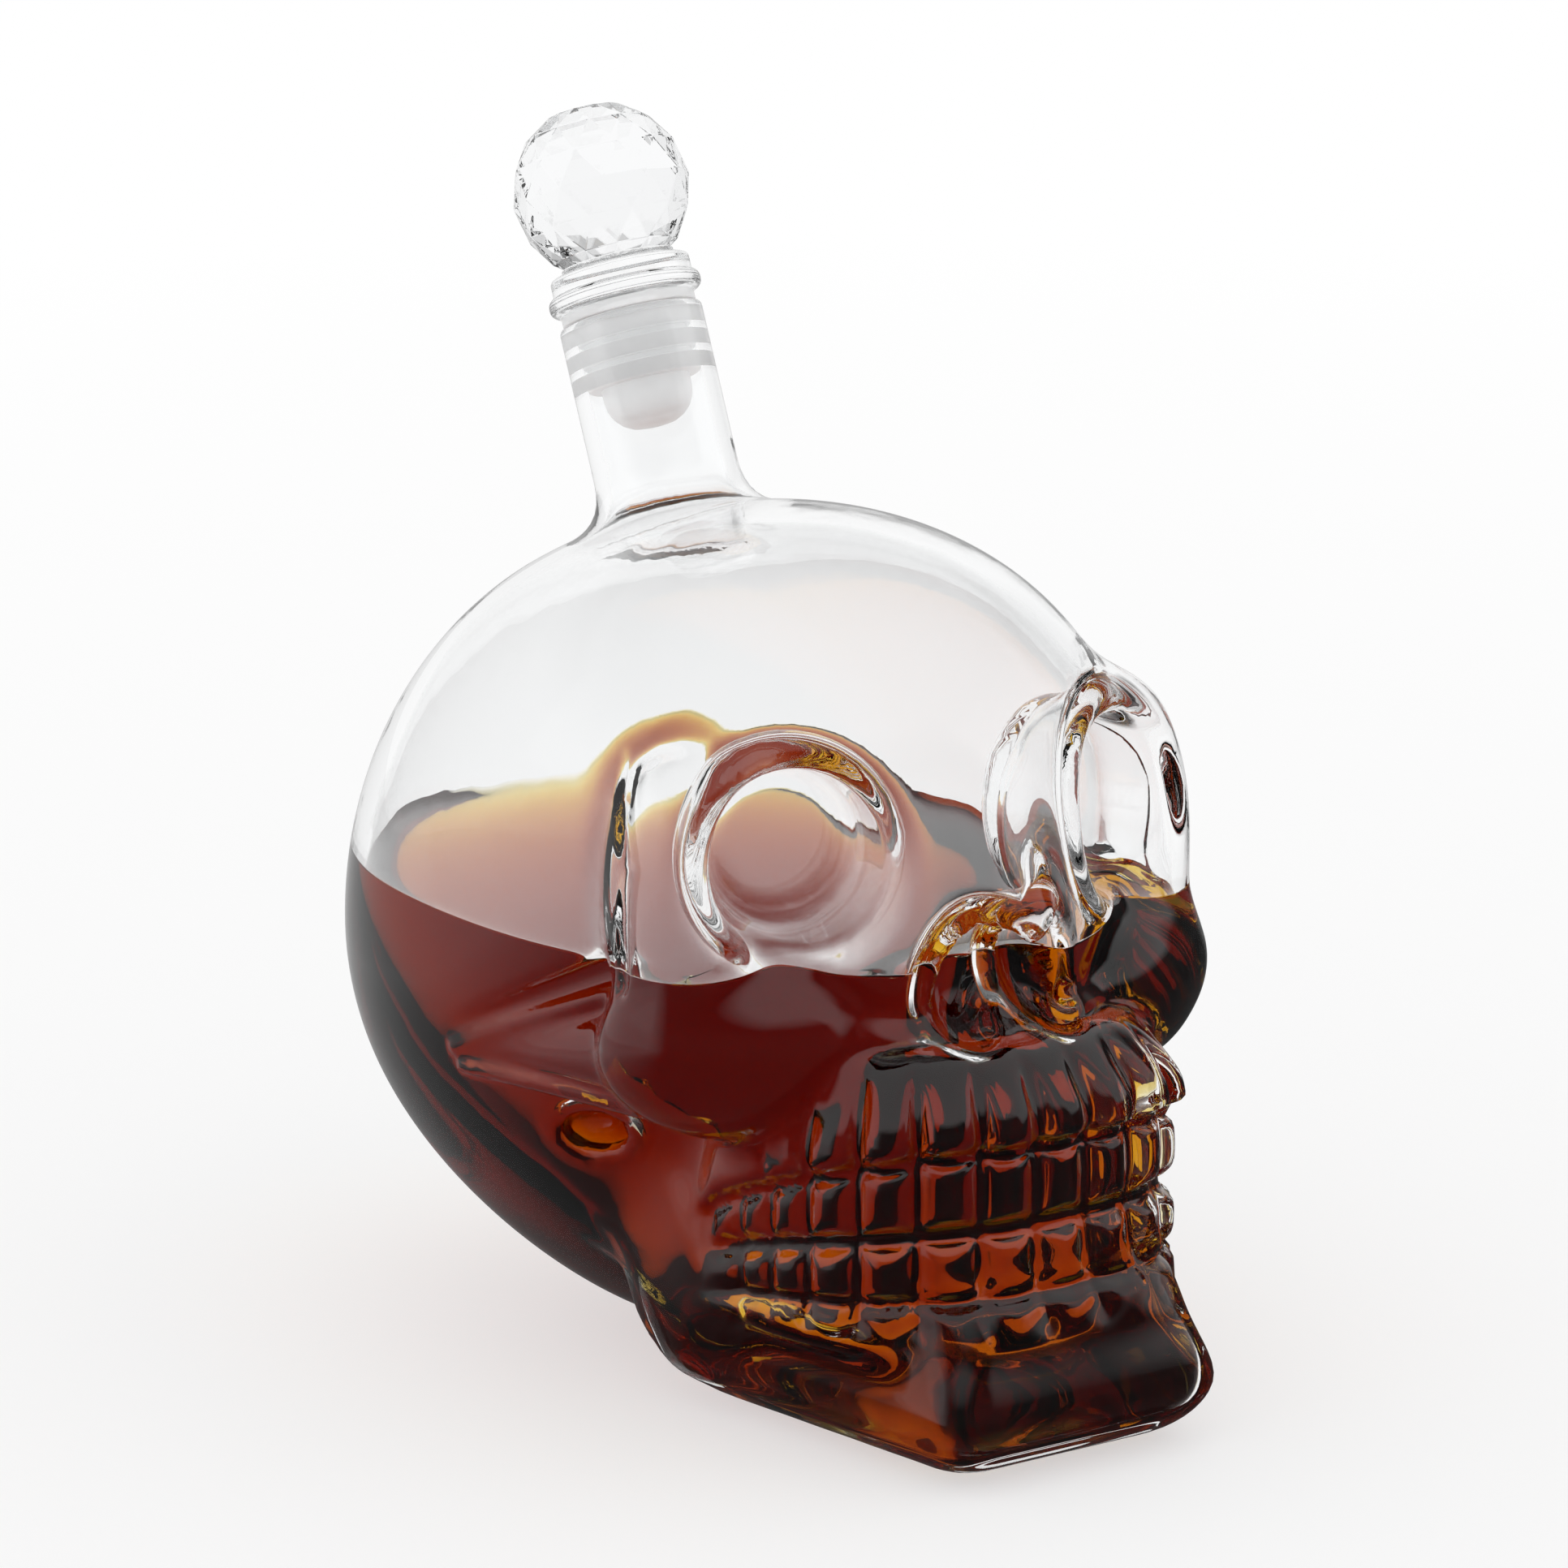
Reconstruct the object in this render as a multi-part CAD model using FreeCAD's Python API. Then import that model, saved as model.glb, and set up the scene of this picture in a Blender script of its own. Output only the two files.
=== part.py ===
"""A skull-shaped glass decanter, half full of liquor, with a faceted ball stopper. Millimetres.

The skull looks along -Y and stands on the floor at Z = 0, with its origin under the middle of its box.
Its neck leaves the crown leaning back. The glass is a blown form: rounded masses that run into each
other, written as one smooth field that is below zero inside. The outside of the glass is where the
field is zero, and the inside lies a wall deeper.
"""
import FreeCAD, Part
import math
import os

Vec = FreeCAD.Vector

# Glass thickness
WALL = 4.0
FLOOR_WALL = 6.0
FLOOR_EDGE = 6.0
INNER_RELIEF_SHARE = 0.4

# Braincase, cut flat where it rests on the floor, and drawn in at the nape
BRAINCASE_WIDTH = 117.0
BRAINCASE_LENGTH = 132.0
BRAINCASE_HEIGHT = 137.0
BRAINCASE_Y = 18.5
BRAINCASE_SINK = 2.6
NAPE_REACH = 54.0
NAPE_TILT = 48.0
NAPE_EDGE = 20.0
BRAINCASE_TAPER = 0.26

# Forehead
FOREHEAD_WIDTH = 104.0
FOREHEAD_LENGTH = 100.0
FOREHEAD_HEIGHT = 94.0
FOREHEAD_Y = -14.0
FOREHEAD_Z = 94.0
FOREHEAD_BLEND = 20.0

# Brow ridge over each eye
BROW_WIDTH = 38.0
BROW_DEPTH = 22.0
BROW_HEIGHT = 18.0
BROW_X = 23.0
BROW_Y = -37.5
BROW_Z = 108.5
BROW_TURN = -20.0
BROW_ROLL = 14.0
BROW_BLEND = 10.0

# Middle of the face, behind the nose
FACE_WIDTH = 64.0
FACE_DEPTH = 50.0
FACE_HEIGHT = 68.0
FACE_Y = -36.0
FACE_Z = 80.0
FACE_BLEND = 12.0
NASAL_TOP_Y = -50.0
NASAL_TOP_Z = 104.0
NASAL_TOP_RADIUS = 8.0
NASAL_TIP_Y = -66.0
NASAL_TIP_Z = 85.5
NASAL_TIP_RADIUS = 7.5
NASAL_BLEND = 7.0
NOSE_BASE_WIDTH = 42.0
NOSE_BASE_DEPTH = 34.0
NOSE_BASE_HEIGHT = 36.0
NOSE_BASE_Y = -49.0
NOSE_BASE_Z = 75.5
NOSE_BASE_BLEND = 8.0

# Outer rim of each eye socket
RIM_WIDTH = 19.0
RIM_DEPTH = 23.0
RIM_HEIGHT = 40.0
RIM_X = 43.5
RIM_Y = -38.0
RIM_Z = 91.0
RIM_BLEND = 8.0
POST_TOP_X = 41.0
POST_TOP_Y = -34.0
POST_TOP_Z = 104.0
POST_TOP_RADIUS = 7.0
POST_FOOT_X = 45.0
POST_FOOT_Y = -42.0
POST_FOOT_Z = 68.0
POST_FOOT_RADIUS = 9.0
POST_BLEND = 10.0

# Cheekbone, and the arch that runs back from it to the ear
CHEEK_WIDTH = 44.0
CHEEK_DEPTH = 28.0
CHEEK_HEIGHT = 34.0
CHEEK_X = 36.0
CHEEK_Y = -44.0
CHEEK_Z = 64.0
CHEEK_TURN = 33.0
CHEEK_BLEND = 7.0
ARCH_FRONT_X = 46.0
ARCH_FRONT_Y = -32.0
ARCH_FRONT_Z = 61.0
ARCH_FRONT_RADIUS = 8.5
ARCH_REAR_X = 53.0
ARCH_REAR_Y = 16.0
ARCH_REAR_Z = 54.0
ARCH_REAR_RADIUS = 4.0
ARCH_BLEND = 4.0

# Upper jaw and the two rows of teeth, on an arch that is squarer than an ellipse
TEETH_HALF_WIDTH = 38.0
TEETH_FRONT_Y = -81.5
TEETH_MIDDLE_Y = -38.0
TEETH_BACK_Y = -8.0
TEETH_SQUARENESS = 2.7
TEETH_BLEND = 5.0
TEETH_EDGE = 4.0
BITE_Z = 39.7
UPPER_TEETH_HEIGHT = 12.8
LOWER_TEETH_HEIGHT = 10.8
LOWER_ROOT_HEIGHT = 6.0
GUM_HEIGHT = 17.5
GUM_DRAW_IN = 13.0
GUM_DRAW_START = 22.0
GUM_DRAW_END = 2.0
ROOT_FADE = 7.0
LOWER_ROOT_SINK = 1.0
LOWER_ROOT_RISE = 3.0
TOOTH_EDGE_ANGLES = (-6.6, 6.6, 19.9, 33.4, 46.0, 58.3, 69.4, 80.5, 92.0)
TEETH_END_ANGLE = 86.0
TEETH_GONE_ANGLE = 98.0
TOOTH_GAP_DEPTH = 3.2
TOOTH_ROUNDNESS = 3.0
ROOT_GAP_DEPTH = 4.3
ROOT_ROUNDNESS = 2.0
ROOT_START = 3.0
TOOTH_LINE_DEPTH = 2.4
BITE_LINE_HALF_HEIGHT = 1.9
GUM_LINE_HALF_HEIGHT = 1.4
GUM_LINE_SHARE = 0.8
LOW_LINE_SHARE = 0.7
GUM_SCALLOP = 1.8
LOW_SCALLOP = 1.2

# How the tooth rows dip towards the back of the jaw
DIP_START_ANGLE = 25.0
DIP_END_ANGLE = 90.0
DIP_CURVE = 1.5
DIP_LIMIT = 1.2
BITE_DIP = 9.0
GUM_DIP = 14.5
LOW_DIP = 5.0
TOP_DIP = 6.0

# Lower jaw: a square chin that widens back to the corners, and a plate up to the ear on each side
CHIN_HALF_WIDTH = 27.0
CHIN_FRONT_Y = -89.5
CHIN_HEIGHT = 29.0
CHIN_TUCK_START = 8.0
CHIN_BOTTOM_ROUND = 13.0
JAW_BACK_BOTTOM_ROUND = 16.0
JAW_ROUND_FILL = 0.98
CHIN_TOP_TUCK = 6.0
CHIN_EDGE = 6.0
JAW_BACK_Y = -20.0
JAW_BACK_HALF_WIDTH = 38.5
JAW_BACK_SLOPE = 0.9
JAW_BACK_SLOPE_Z = 6.0
JAW_SPREAD_LIMIT = 1.2
JAW_BLEND = 4.0
RAMUS_THICKNESS = 13.0
RAMUS_WIDTH = 28.0
RAMUS_LENGTH = 64.0
RAMUS_X = 32.5
RAMUS_Y = -15.0
RAMUS_Z = 36.0
RAMUS_LEAN = 43.0
RAMUS_BLEND = 7.0

# Eye sockets, the two halves of the nose and the small hollow under each cheek arch
SOCKET_WIDTH = 29.0
SOCKET_HEIGHT = 30.0
SOCKET_X = 26.0
SOCKET_FLOOR_Y = -38.5
SOCKET_Z = 98.0
SOCKET_TURN = 22.0
SOCKET_FLARE = 8.0
SOCKET_CORNER = 4.0
SOCKET_EDGE = 5.0
NOSE_WIDTH = 12.5
NOSE_DEPTH = 22.0
NOSE_HEIGHT = 21.0
NOSE_X = 6.6
NOSE_Y = -67.0
NOSE_Z = 76.5
NOSE_TILT = 10.0
NOSE_ROLL = -20.0
NOSE_EDGE = 1.6
SEPTUM_WIDTH = 12.0
SEPTUM_DEPTH = 20.0
SEPTUM_HEIGHT = 15.0
SEPTUM_Y = -73.0
SEPTUM_Z = 75.5
SEPTUM_EDGE = 2.0
DIMPLE_WIDTH = 10.0
DIMPLE_DEPTH = 13.0
DIMPLE_HEIGHT = 7.0
DIMPLE_X = 44.0
DIMPLE_Y = -14.0
DIMPLE_Z = 46.0
DIMPLE_TILT = -12.0
DIMPLE_EDGE = 2.5

# Neck, which leans back from the crown
NECK_LEAN = 23.0
NECK_AXIS_Y = -0.3
NECK_OUTSIDE = 24.2
NECK_BORE = 19.4
NECK_LENGTH = 33.2
NECK_RIM_ROUND = 0.9
NECK_FOOT_SINK = 1.5
NECK_FOOT_BLEND = 12.0
NECK_SHOULDER_DIAMETER = 44.0

# Liquor
LIQUOR_LEVEL = 77.0
LIQUOR_CLEARANCE = 0.3

# Soft seal of the stopper
SEAT_CLEARANCE = 0.05
SEAL_COLLAR_HEIGHT = 2.0
SEAL_COLLAR_DIAMETER = 22.6
SEAL_BODY_DIAMETER = 17.4
SEAL_RIB_COUNT = 3
SEAL_RIB_HEIGHT = 3.0
SEAL_RIB_STEP = 3.9
SEAL_RIB_FIT = 0.05
SEAL_CUP_DIAMETER = 15.0
SEAL_CUP_LENGTH = 6.5
SEAL_CUP_FLOOR = 2.2
SEAL_CUP_ROUND = 3.0

# Clear base of the stopper, and the ball on it
SHANK_DIAMETER = 10.0
SHANK_FIT = 0.05
SHANK_END_GAP = 0.3
LIP_DIAMETER = 25.8
LIP_HEIGHT = 3.2
LIP_ROUND = 1.4
DISC_DIAMETER = 23.6
DISC_HEIGHT = 3.0
DISC_ROUND = 0.8
PEDESTAL_DIAMETER = 19.0
PEDESTAL_HEIGHT = 1.2
BALL_DIAMETER = 30.0
BALL_SEAT_DIAMETER = 18.0
BALL_FACET_COUNT = 8
BALL_BAND_COUNT = 4

# Fineness of the glass skins, which is greatest at the face
OUTER_COLUMN_COUNT = 176
OUTER_ROW_COUNT = 128
INNER_COLUMN_COUNT = 80
INNER_ROW_COUNT = 48
FACE_DIP = 25.0
FACE_CROWDING = 0.55
HEART_Y = 20.0
SKIN_PATCH_COUNT = 4
SKIN_DEGREE = 3
SURFACE_TOLERANCE = 0.005
SURFACE_STEP = 0.75
SURFACE_TRY_COUNT = 120


def turned(point, pitch, yaw, roll):
    """Coordinates of a point along the axes of a mass that is turned by three angles in radians."""
    x, y, z = point
    x, y = x * math.cos(yaw) + y * math.sin(yaw), y * math.cos(yaw) - x * math.sin(yaw)
    x, z = x * math.cos(roll) - z * math.sin(roll), z * math.cos(roll) + x * math.sin(roll)
    y, z = y * math.cos(pitch) + z * math.sin(pitch), z * math.cos(pitch) - y * math.sin(pitch)
    return x, y, z


def ellipsoid(centre, size, pitch=0.0, yaw=0.0, roll=0.0):
    """Field of an ellipsoid with the given overall sizes, turned by angles in degrees."""
    cx, cy, cz = centre
    rx, ry, rz = (length / 2 for length in size)
    angles = [math.radians(angle) for angle in (pitch, yaw, roll)]
    xx, xy, xz = turned((1, 0, 0), *angles)
    yx, yy, yz = turned((0, 1, 0), *angles)
    zx, zy, zz = turned((0, 0, 1), *angles)

    def field(x, y, z):
        x, y, z = x - cx, y - cy, z - cz
        a = (x * xx + y * yx + z * zx) / rx
        b = (x * xy + y * yy + z * zy) / ry
        c = (x * xz + y * yz + z * zz) / rz
        near = math.sqrt(a * a + b * b + c * c)
        slope = math.sqrt((a / rx) ** 2 + (b / ry) ** 2 + (c / rz) ** 2)
        return near * (near - 1) / max(slope, 1e-9)

    return field


def bar(start, end, start_radius, end_radius):
    """Field of a round bar that tapers from one end to the other."""
    ax, ay, az = start
    dx, dy, dz = (e - s for e, s in zip(end, start))
    length_squared = dx * dx + dy * dy + dz * dz

    def field(x, y, z):
        x, y, z = x - ax, y - ay, z - az
        along = min(1.0, max(0.0, (x * dx + y * dy + z * dz) / length_squared))
        away = math.sqrt((x - along * dx) ** 2 + (y - along * dy) ** 2 + (z - along * dz) ** 2)
        return away - start_radius - (end_radius - start_radius) * along

    return field


def plate(centre, size, lean):
    """Field of a plate square to X, with half-round edges, that leans back by an angle in degrees."""
    cx, cy, cz = centre
    edge = size[0] / 2
    half_width, half_length = (length / 2 - edge for length in size[1:])
    cosine, sine = math.cos(math.radians(lean)), math.sin(math.radians(lean))

    def field(x, y, z):
        x, y, z = x - cx, y - cy, z - cz
        across = max(0.0, abs(y * cosine - z * sine) - half_width)
        along = max(0.0, abs(z * cosine + y * sine) - half_length)
        return math.sqrt(x * x + across * across + along * along) - edge

    return field


def bowl(centre, width, height, turn, flare, corner):
    """Field of a round hollow with a flat floor about a centre, whose wall widens towards its mouth."""
    cx, cy, cz = centre
    cosine, sine = math.cos(math.radians(turn)), math.sin(math.radians(turn))
    slope, steep = math.tan(math.radians(flare)), math.cos(math.radians(flare))

    def field(x, y, z):
        x, y, z = x - cx, y - cy, z - cz
        across, back = x * cosine + y * sine, y * cosine - x * sine
        away = math.hypot(across, z * width / height)
        return trimmed((away - width / 2 + slope * back) * steep, back, corner)

    return field


def joined(a, b, blend):
    """Two masses run into each other, with a hollow of the given breadth between them."""
    overlap = max(blend - abs(a - b), 0.0) / blend
    return min(a, b) - overlap * overlap * blend / 4


def trimmed(a, b, edge):
    """What two masses share, with an edge rounded over the given breadth."""
    return -joined(-a, -b, edge)


def eased(value, start, end):
    """Smooth change from 0 at start to 1 at end."""
    t = min(1.0, max(0.0, (value - start) / (end - start)))
    return t * t * (3 - 2 * t)


def tooth_row(angle):
    """How near an angle along the arch is to a gap between two teeth: 0 on a tooth's middle, 1 in a gap."""
    near = 1.0
    for first, last in zip(TOOTH_EDGE_ANGLES[:-1], TOOTH_EDGE_ANGLES[1:]):
        share = min(1.0, max(0.0, (angle - first) / (last - first)))
        near = min(near, abs(2 * share - 1))
    return near


def groove(offset, half_height):
    """Depth of a soft groove at an offset from its line, from 1 on the line to 0."""
    return math.exp(-((offset / half_height) ** 2))


def tooth_relief(angle, z):
    """Depth of the gaps between the teeth and of the lines above, between and below their rows."""
    dip_share = (angle - DIP_START_ANGLE) / (DIP_END_ANGLE - DIP_START_ANGLE)
    dip = min(DIP_LIMIT, max(0.0, dip_share)) ** DIP_CURVE
    bite_line = BITE_Z - BITE_DIP * dip
    gum_line = BITE_Z + UPPER_TEETH_HEIGHT - GUM_DIP * dip
    low_line = BITE_Z - LOWER_TEETH_HEIGHT - LOW_DIP * dip
    top = BITE_Z + UPPER_TEETH_HEIGHT + GUM_HEIGHT - TOP_DIP * dip
    bottom = BITE_Z - LOWER_TEETH_HEIGHT - LOWER_ROOT_HEIGHT
    near = tooth_row(angle)
    tooth_gap = 1 - math.sqrt(1 - near ** TOOTH_ROUNDNESS)
    root_gap = 1 - math.sqrt(1 - near ** ROOT_ROUNDNESS)
    rooted = eased(z, gum_line - ROOT_START / 2, gum_line + ROOT_START / 2)
    gap = TOOTH_GAP_DEPTH * tooth_gap * (1 - rooted) + ROOT_GAP_DEPTH * root_gap * rooted
    gap *= eased(z, top, top - ROOT_FADE) * eased(z, bottom - LOWER_ROOT_SINK, bottom + LOWER_ROOT_RISE)
    lines = groove(z - bite_line, BITE_LINE_HALF_HEIGHT)
    lines += GUM_LINE_SHARE * groove(z - gum_line + GUM_SCALLOP * tooth_gap, GUM_LINE_HALF_HEIGHT)
    lines += LOW_LINE_SHARE * groove(z - low_line - LOW_SCALLOP * tooth_gap, GUM_LINE_HALF_HEIGHT)
    shown = 1 - eased(angle, TEETH_END_ANGLE, TEETH_GONE_ANGLE)
    return max(gap, TOOTH_LINE_DEPTH * lines) * shown, top, bottom


def teeth(relief_share):
    """Field of the upper jaw and the tooth rows, drawn in towards the nose, with a share of their relief."""

    def field(x, y, z):
        angle = math.degrees(math.atan2(abs(x), TEETH_MIDDLE_Y - y))
        relief, top, bottom = tooth_relief(angle, z)
        draw_in = GUM_DRAW_IN * eased(z, top - GUM_DRAW_START, top + GUM_DRAW_END)
        half_width = TEETH_HALF_WIDTH - draw_in
        front_reach = TEETH_MIDDLE_Y - TEETH_FRONT_Y - draw_in
        back_reach = TEETH_BACK_Y - TEETH_MIDDLE_Y
        reach = front_reach if y < TEETH_MIDDLE_Y else back_reach
        across = abs(x) / half_width
        along = abs(y - TEETH_MIDDLE_Y) / reach
        rounded = (across ** TEETH_SQUARENESS + along ** TEETH_SQUARENESS) ** (1 / TEETH_SQUARENESS)
        arch = (rounded - 1) * half_width
        ends = max(z - top, bottom - TEETH_EDGE - z)
        return trimmed(arch + relief * relief_share, ends, TEETH_EDGE)

    return field


def lower_jaw(x, y, z):
    """Field of the lower jaw below the teeth: a square chin whose sides spread to the corners."""
    share = min(JAW_SPREAD_LIMIT, max(0.0, (y - CHIN_FRONT_Y) / (JAW_BACK_Y - CHIN_FRONT_Y)))
    spread = CHIN_HALF_WIDTH + (JAW_BACK_HALF_WIDTH - CHIN_HALF_WIDTH) * share
    rounding = CHIN_BOTTOM_ROUND + (JAW_BACK_BOTTOM_ROUND - CHIN_BOTTOM_ROUND) * share
    sunk = min(1.0, max(0.0, (rounding - z) / rounding))
    tuck = rounding * (1 - math.sqrt(1 - JAW_ROUND_FILL * sunk * sunk))
    tuck += CHIN_TOP_TUCK * eased(z, CHIN_TUCK_START, CHIN_HEIGHT)
    side = abs(x) - spread + tuck
    front = CHIN_FRONT_Y + tuck - y
    back = y - JAW_BACK_Y - JAW_BACK_SLOPE * (z - JAW_BACK_SLOPE_Z)
    walls = trimmed(trimmed(side, front, CHIN_EDGE), back, CHIN_EDGE)
    return trimmed(walls, z - CHIN_HEIGHT, CHIN_EDGE / 2)


BRAINCASE_Z = BRAINCASE_HEIGHT / 2 - BRAINCASE_SINK


def braincase():
    """Field of the braincase, drawn in along a slanting plane at the nape."""
    size = (BRAINCASE_WIDTH, BRAINCASE_LENGTH, BRAINCASE_HEIGHT)
    egg = ellipsoid((0, BRAINCASE_Y, BRAINCASE_Z), size)
    back = math.cos(math.radians(NAPE_TILT))
    down = math.sin(math.radians(NAPE_TILT))

    def field(x, y, z):
        nape = (y - BRAINCASE_Y) * back + (BRAINCASE_Z - z) * down - NAPE_REACH
        sunk = max(0.0, 2 * (BRAINCASE_Z - z) / BRAINCASE_HEIGHT)
        return trimmed(egg(x * (1 + BRAINCASE_TAPER * sunk * sunk), y, z), nape, NAPE_EDGE)

    return field


def added_masses(relief_share):
    """The masses that stand on one half of the braincase, each with the breadth of its blend."""
    forehead = (FOREHEAD_WIDTH, FOREHEAD_LENGTH, FOREHEAD_HEIGHT)
    brow = (BROW_WIDTH, BROW_DEPTH, BROW_HEIGHT)
    face = (FACE_WIDTH, FACE_DEPTH, FACE_HEIGHT)
    nasal_top = (0, NASAL_TOP_Y, NASAL_TOP_Z)
    nasal_tip = (0, NASAL_TIP_Y, NASAL_TIP_Z)
    nose_base = (NOSE_BASE_WIDTH, NOSE_BASE_DEPTH, NOSE_BASE_HEIGHT)
    rim = (RIM_WIDTH, RIM_DEPTH, RIM_HEIGHT)
    post_top = (POST_TOP_X, POST_TOP_Y, POST_TOP_Z)
    post_foot = (POST_FOOT_X, POST_FOOT_Y, POST_FOOT_Z)
    cheek = (CHEEK_WIDTH, CHEEK_DEPTH, CHEEK_HEIGHT)
    arch_front = (ARCH_FRONT_X, ARCH_FRONT_Y, ARCH_FRONT_Z)
    arch_rear = (ARCH_REAR_X, ARCH_REAR_Y, ARCH_REAR_Z)
    ramus = (RAMUS_THICKNESS, RAMUS_WIDTH, RAMUS_LENGTH)
    return [
        (ellipsoid((0, FOREHEAD_Y, FOREHEAD_Z), forehead), FOREHEAD_BLEND),
        (ellipsoid((BROW_X, BROW_Y, BROW_Z), brow, 0, BROW_TURN, BROW_ROLL), BROW_BLEND),
        (ellipsoid((0, FACE_Y, FACE_Z), face), FACE_BLEND),
        (bar(nasal_top, nasal_tip, NASAL_TOP_RADIUS, NASAL_TIP_RADIUS), NASAL_BLEND),
        (ellipsoid((0, NOSE_BASE_Y, NOSE_BASE_Z), nose_base), NOSE_BASE_BLEND),
        (bar(post_top, post_foot, POST_TOP_RADIUS, POST_FOOT_RADIUS), POST_BLEND),
        (ellipsoid((RIM_X, RIM_Y, RIM_Z), rim), RIM_BLEND),
        (ellipsoid((CHEEK_X, CHEEK_Y, CHEEK_Z), cheek, 0, CHEEK_TURN), CHEEK_BLEND),
        (bar(arch_front, arch_rear, ARCH_FRONT_RADIUS, ARCH_REAR_RADIUS), ARCH_BLEND),
        (teeth(relief_share), TEETH_BLEND),
        (lower_jaw, JAW_BLEND),
        (plate((RAMUS_X, RAMUS_Y, RAMUS_Z), ramus, RAMUS_LEAN), RAMUS_BLEND),
    ]


def face_hollows():
    """The hollows sunk into one half of the face, each with the breadth of its edge."""
    socket = (SOCKET_X, SOCKET_FLOOR_Y, SOCKET_Z)
    nose = (NOSE_WIDTH, NOSE_DEPTH, NOSE_HEIGHT)
    septum = (SEPTUM_WIDTH, SEPTUM_DEPTH, SEPTUM_HEIGHT)
    dimple = (DIMPLE_WIDTH, DIMPLE_DEPTH, DIMPLE_HEIGHT)
    eye = bowl(socket, SOCKET_WIDTH, SOCKET_HEIGHT, SOCKET_TURN, SOCKET_FLARE, SOCKET_CORNER)
    return [
        (eye, SOCKET_EDGE),
        (ellipsoid((NOSE_X, NOSE_Y, NOSE_Z), nose, NOSE_TILT, 0, NOSE_ROLL), NOSE_EDGE),
        (ellipsoid((0, SEPTUM_Y, SEPTUM_Z), septum), SEPTUM_EDGE),
        (ellipsoid((DIMPLE_X, DIMPLE_Y, DIMPLE_Z), dimple, DIMPLE_TILT), DIMPLE_EDGE),
    ]


def head(relief_share):
    """Field of the whole head, alike on both sides, before the floor cuts it flat."""
    core = braincase()
    masses = added_masses(relief_share)
    hollows = face_hollows()

    def field(x, y, z):
        x = abs(x)
        value = core(x, y, z)
        for mass, blend in masses:
            value = joined(value, mass(x, y, z), blend)
        for hollow, edge in hollows:
            value = trimmed(value, -hollow(x, y, z), edge)
        return value

    return field


def inside(field, depth, floor):
    """Field of the space a depth inside another field and above a floor."""

    def inner(x, y, z):
        return trimmed(field(x, y, z) + depth, floor - z, FLOOR_EDGE)

    return inner


def surface_point(field, origin, direction):
    """Outermost point of a field along a direction from a point inside, sought from well outside."""
    reach = BRAINCASE_LENGTH - CHIN_FRONT_Y
    for _ in range(SURFACE_TRY_COUNT):
        point = origin + direction * reach
        value = field(point.x, point.y, point.z)
        if abs(value) < SURFACE_TOLERANCE:
            break
        reach -= SURFACE_STEP * value
    return origin + direction * reach


def skin(field, columns, rows):
    """Closed smooth solid round a field: columns go round the X axis, and rows from temple to temple."""
    heart = Vec(0, HEART_Y, SOCKET_Z)
    left = surface_point(field, heart, Vec(-1, 0, 0))
    right = surface_point(field, heart, Vec(1, 0, 0))
    poles = []
    for column in range(columns):
        even = 2 * math.pi * column / columns
        turn = even - FACE_CROWDING * math.sin(even) + math.radians(FACE_DIP)
        outward = Vec(0, -math.cos(turn), -math.sin(turn))
        strip = [left]
        for row in range(1, rows - 1):
            across = 2 * row / (rows - 1) - 1
            sideways = math.pi / 2 * across * (1 - FACE_CROWDING / 2 * (1 - across * across))
            direction = outward * math.cos(sideways) + Vec(math.sin(sideways), 0, 0)
            strip.append(surface_point(field, heart, direction))
        poles.append(strip + [right])
    spans = rows - SKIN_DEGREE
    ends = SKIN_DEGREE + 1
    surface = Part.BSplineSurface()
    surface.buildFromPolesMultsKnots(
        poles,
        [1] * (columns + 1),
        [ends] + [1] * (spans - 1) + [ends],
        [float(knot) for knot in range(columns + 1)],
        [float(knot) for knot in range(spans + 1)],
        True,
        False,
        SKIN_DEGREE,
        SKIN_DEGREE,
    )
    patches = []
    for quarter in range(SKIN_PATCH_COUNT):
        patch = surface.copy()
        first = columns * quarter / SKIN_PATCH_COUNT
        last = columns * (quarter + 1) / SKIN_PATCH_COUNT
        patch.segment(first, last, 0.0, float(spans))
        patches.append(patch.toShape())
    shell = Part.Shell(patches)
    shell.sewShape()
    return Part.Solid(shell)


HEAD = head(1.0)
INNER_HEAD = head(INNER_RELIEF_SHARE)
AXIS = Vec(0, math.sin(math.radians(NECK_LEAN)), math.cos(math.radians(NECK_LEAN)))
NECK_ORIGIN = Vec(0, NECK_AXIS_Y, BRAINCASE_HEIGHT / 2)
CROWN = surface_point(HEAD, NECK_ORIGIN, AXIS)


def head_with_foot():
    """Field of the head with the swelling on its crown that carries the neck."""
    radius = NECK_OUTSIDE / 2 - NECK_FOOT_SINK
    foot = bar(NECK_ORIGIN, CROWN, radius, radius)

    def field(x, y, z):
        return joined(HEAD(x, y, z), foot(x, y, z), NECK_FOOT_BLEND)

    return field


def on_neck(solid):
    """A solid made upright on the origin, moved on to the leaning axis of the neck."""
    solid.Placement = FreeCAD.Placement(CROWN, FreeCAD.Rotation(Vec(1, 0, 0), -NECK_LEAN))
    return solid


def rounded_corner(before, corner, after, rounding):
    """Start, middle and end of the arc that rounds one corner of a flat outline."""
    to_before = (before - corner).normalize()
    to_after = (after - corner).normalize()
    half = to_before.getAngle(to_after) / 2
    tangent = rounding / math.tan(half)
    bisector = (to_before + to_after).normalize()
    middle = corner + bisector * (rounding / math.sin(half) - rounding)
    return corner + to_before * tangent, middle, corner + to_after * tangent


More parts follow.
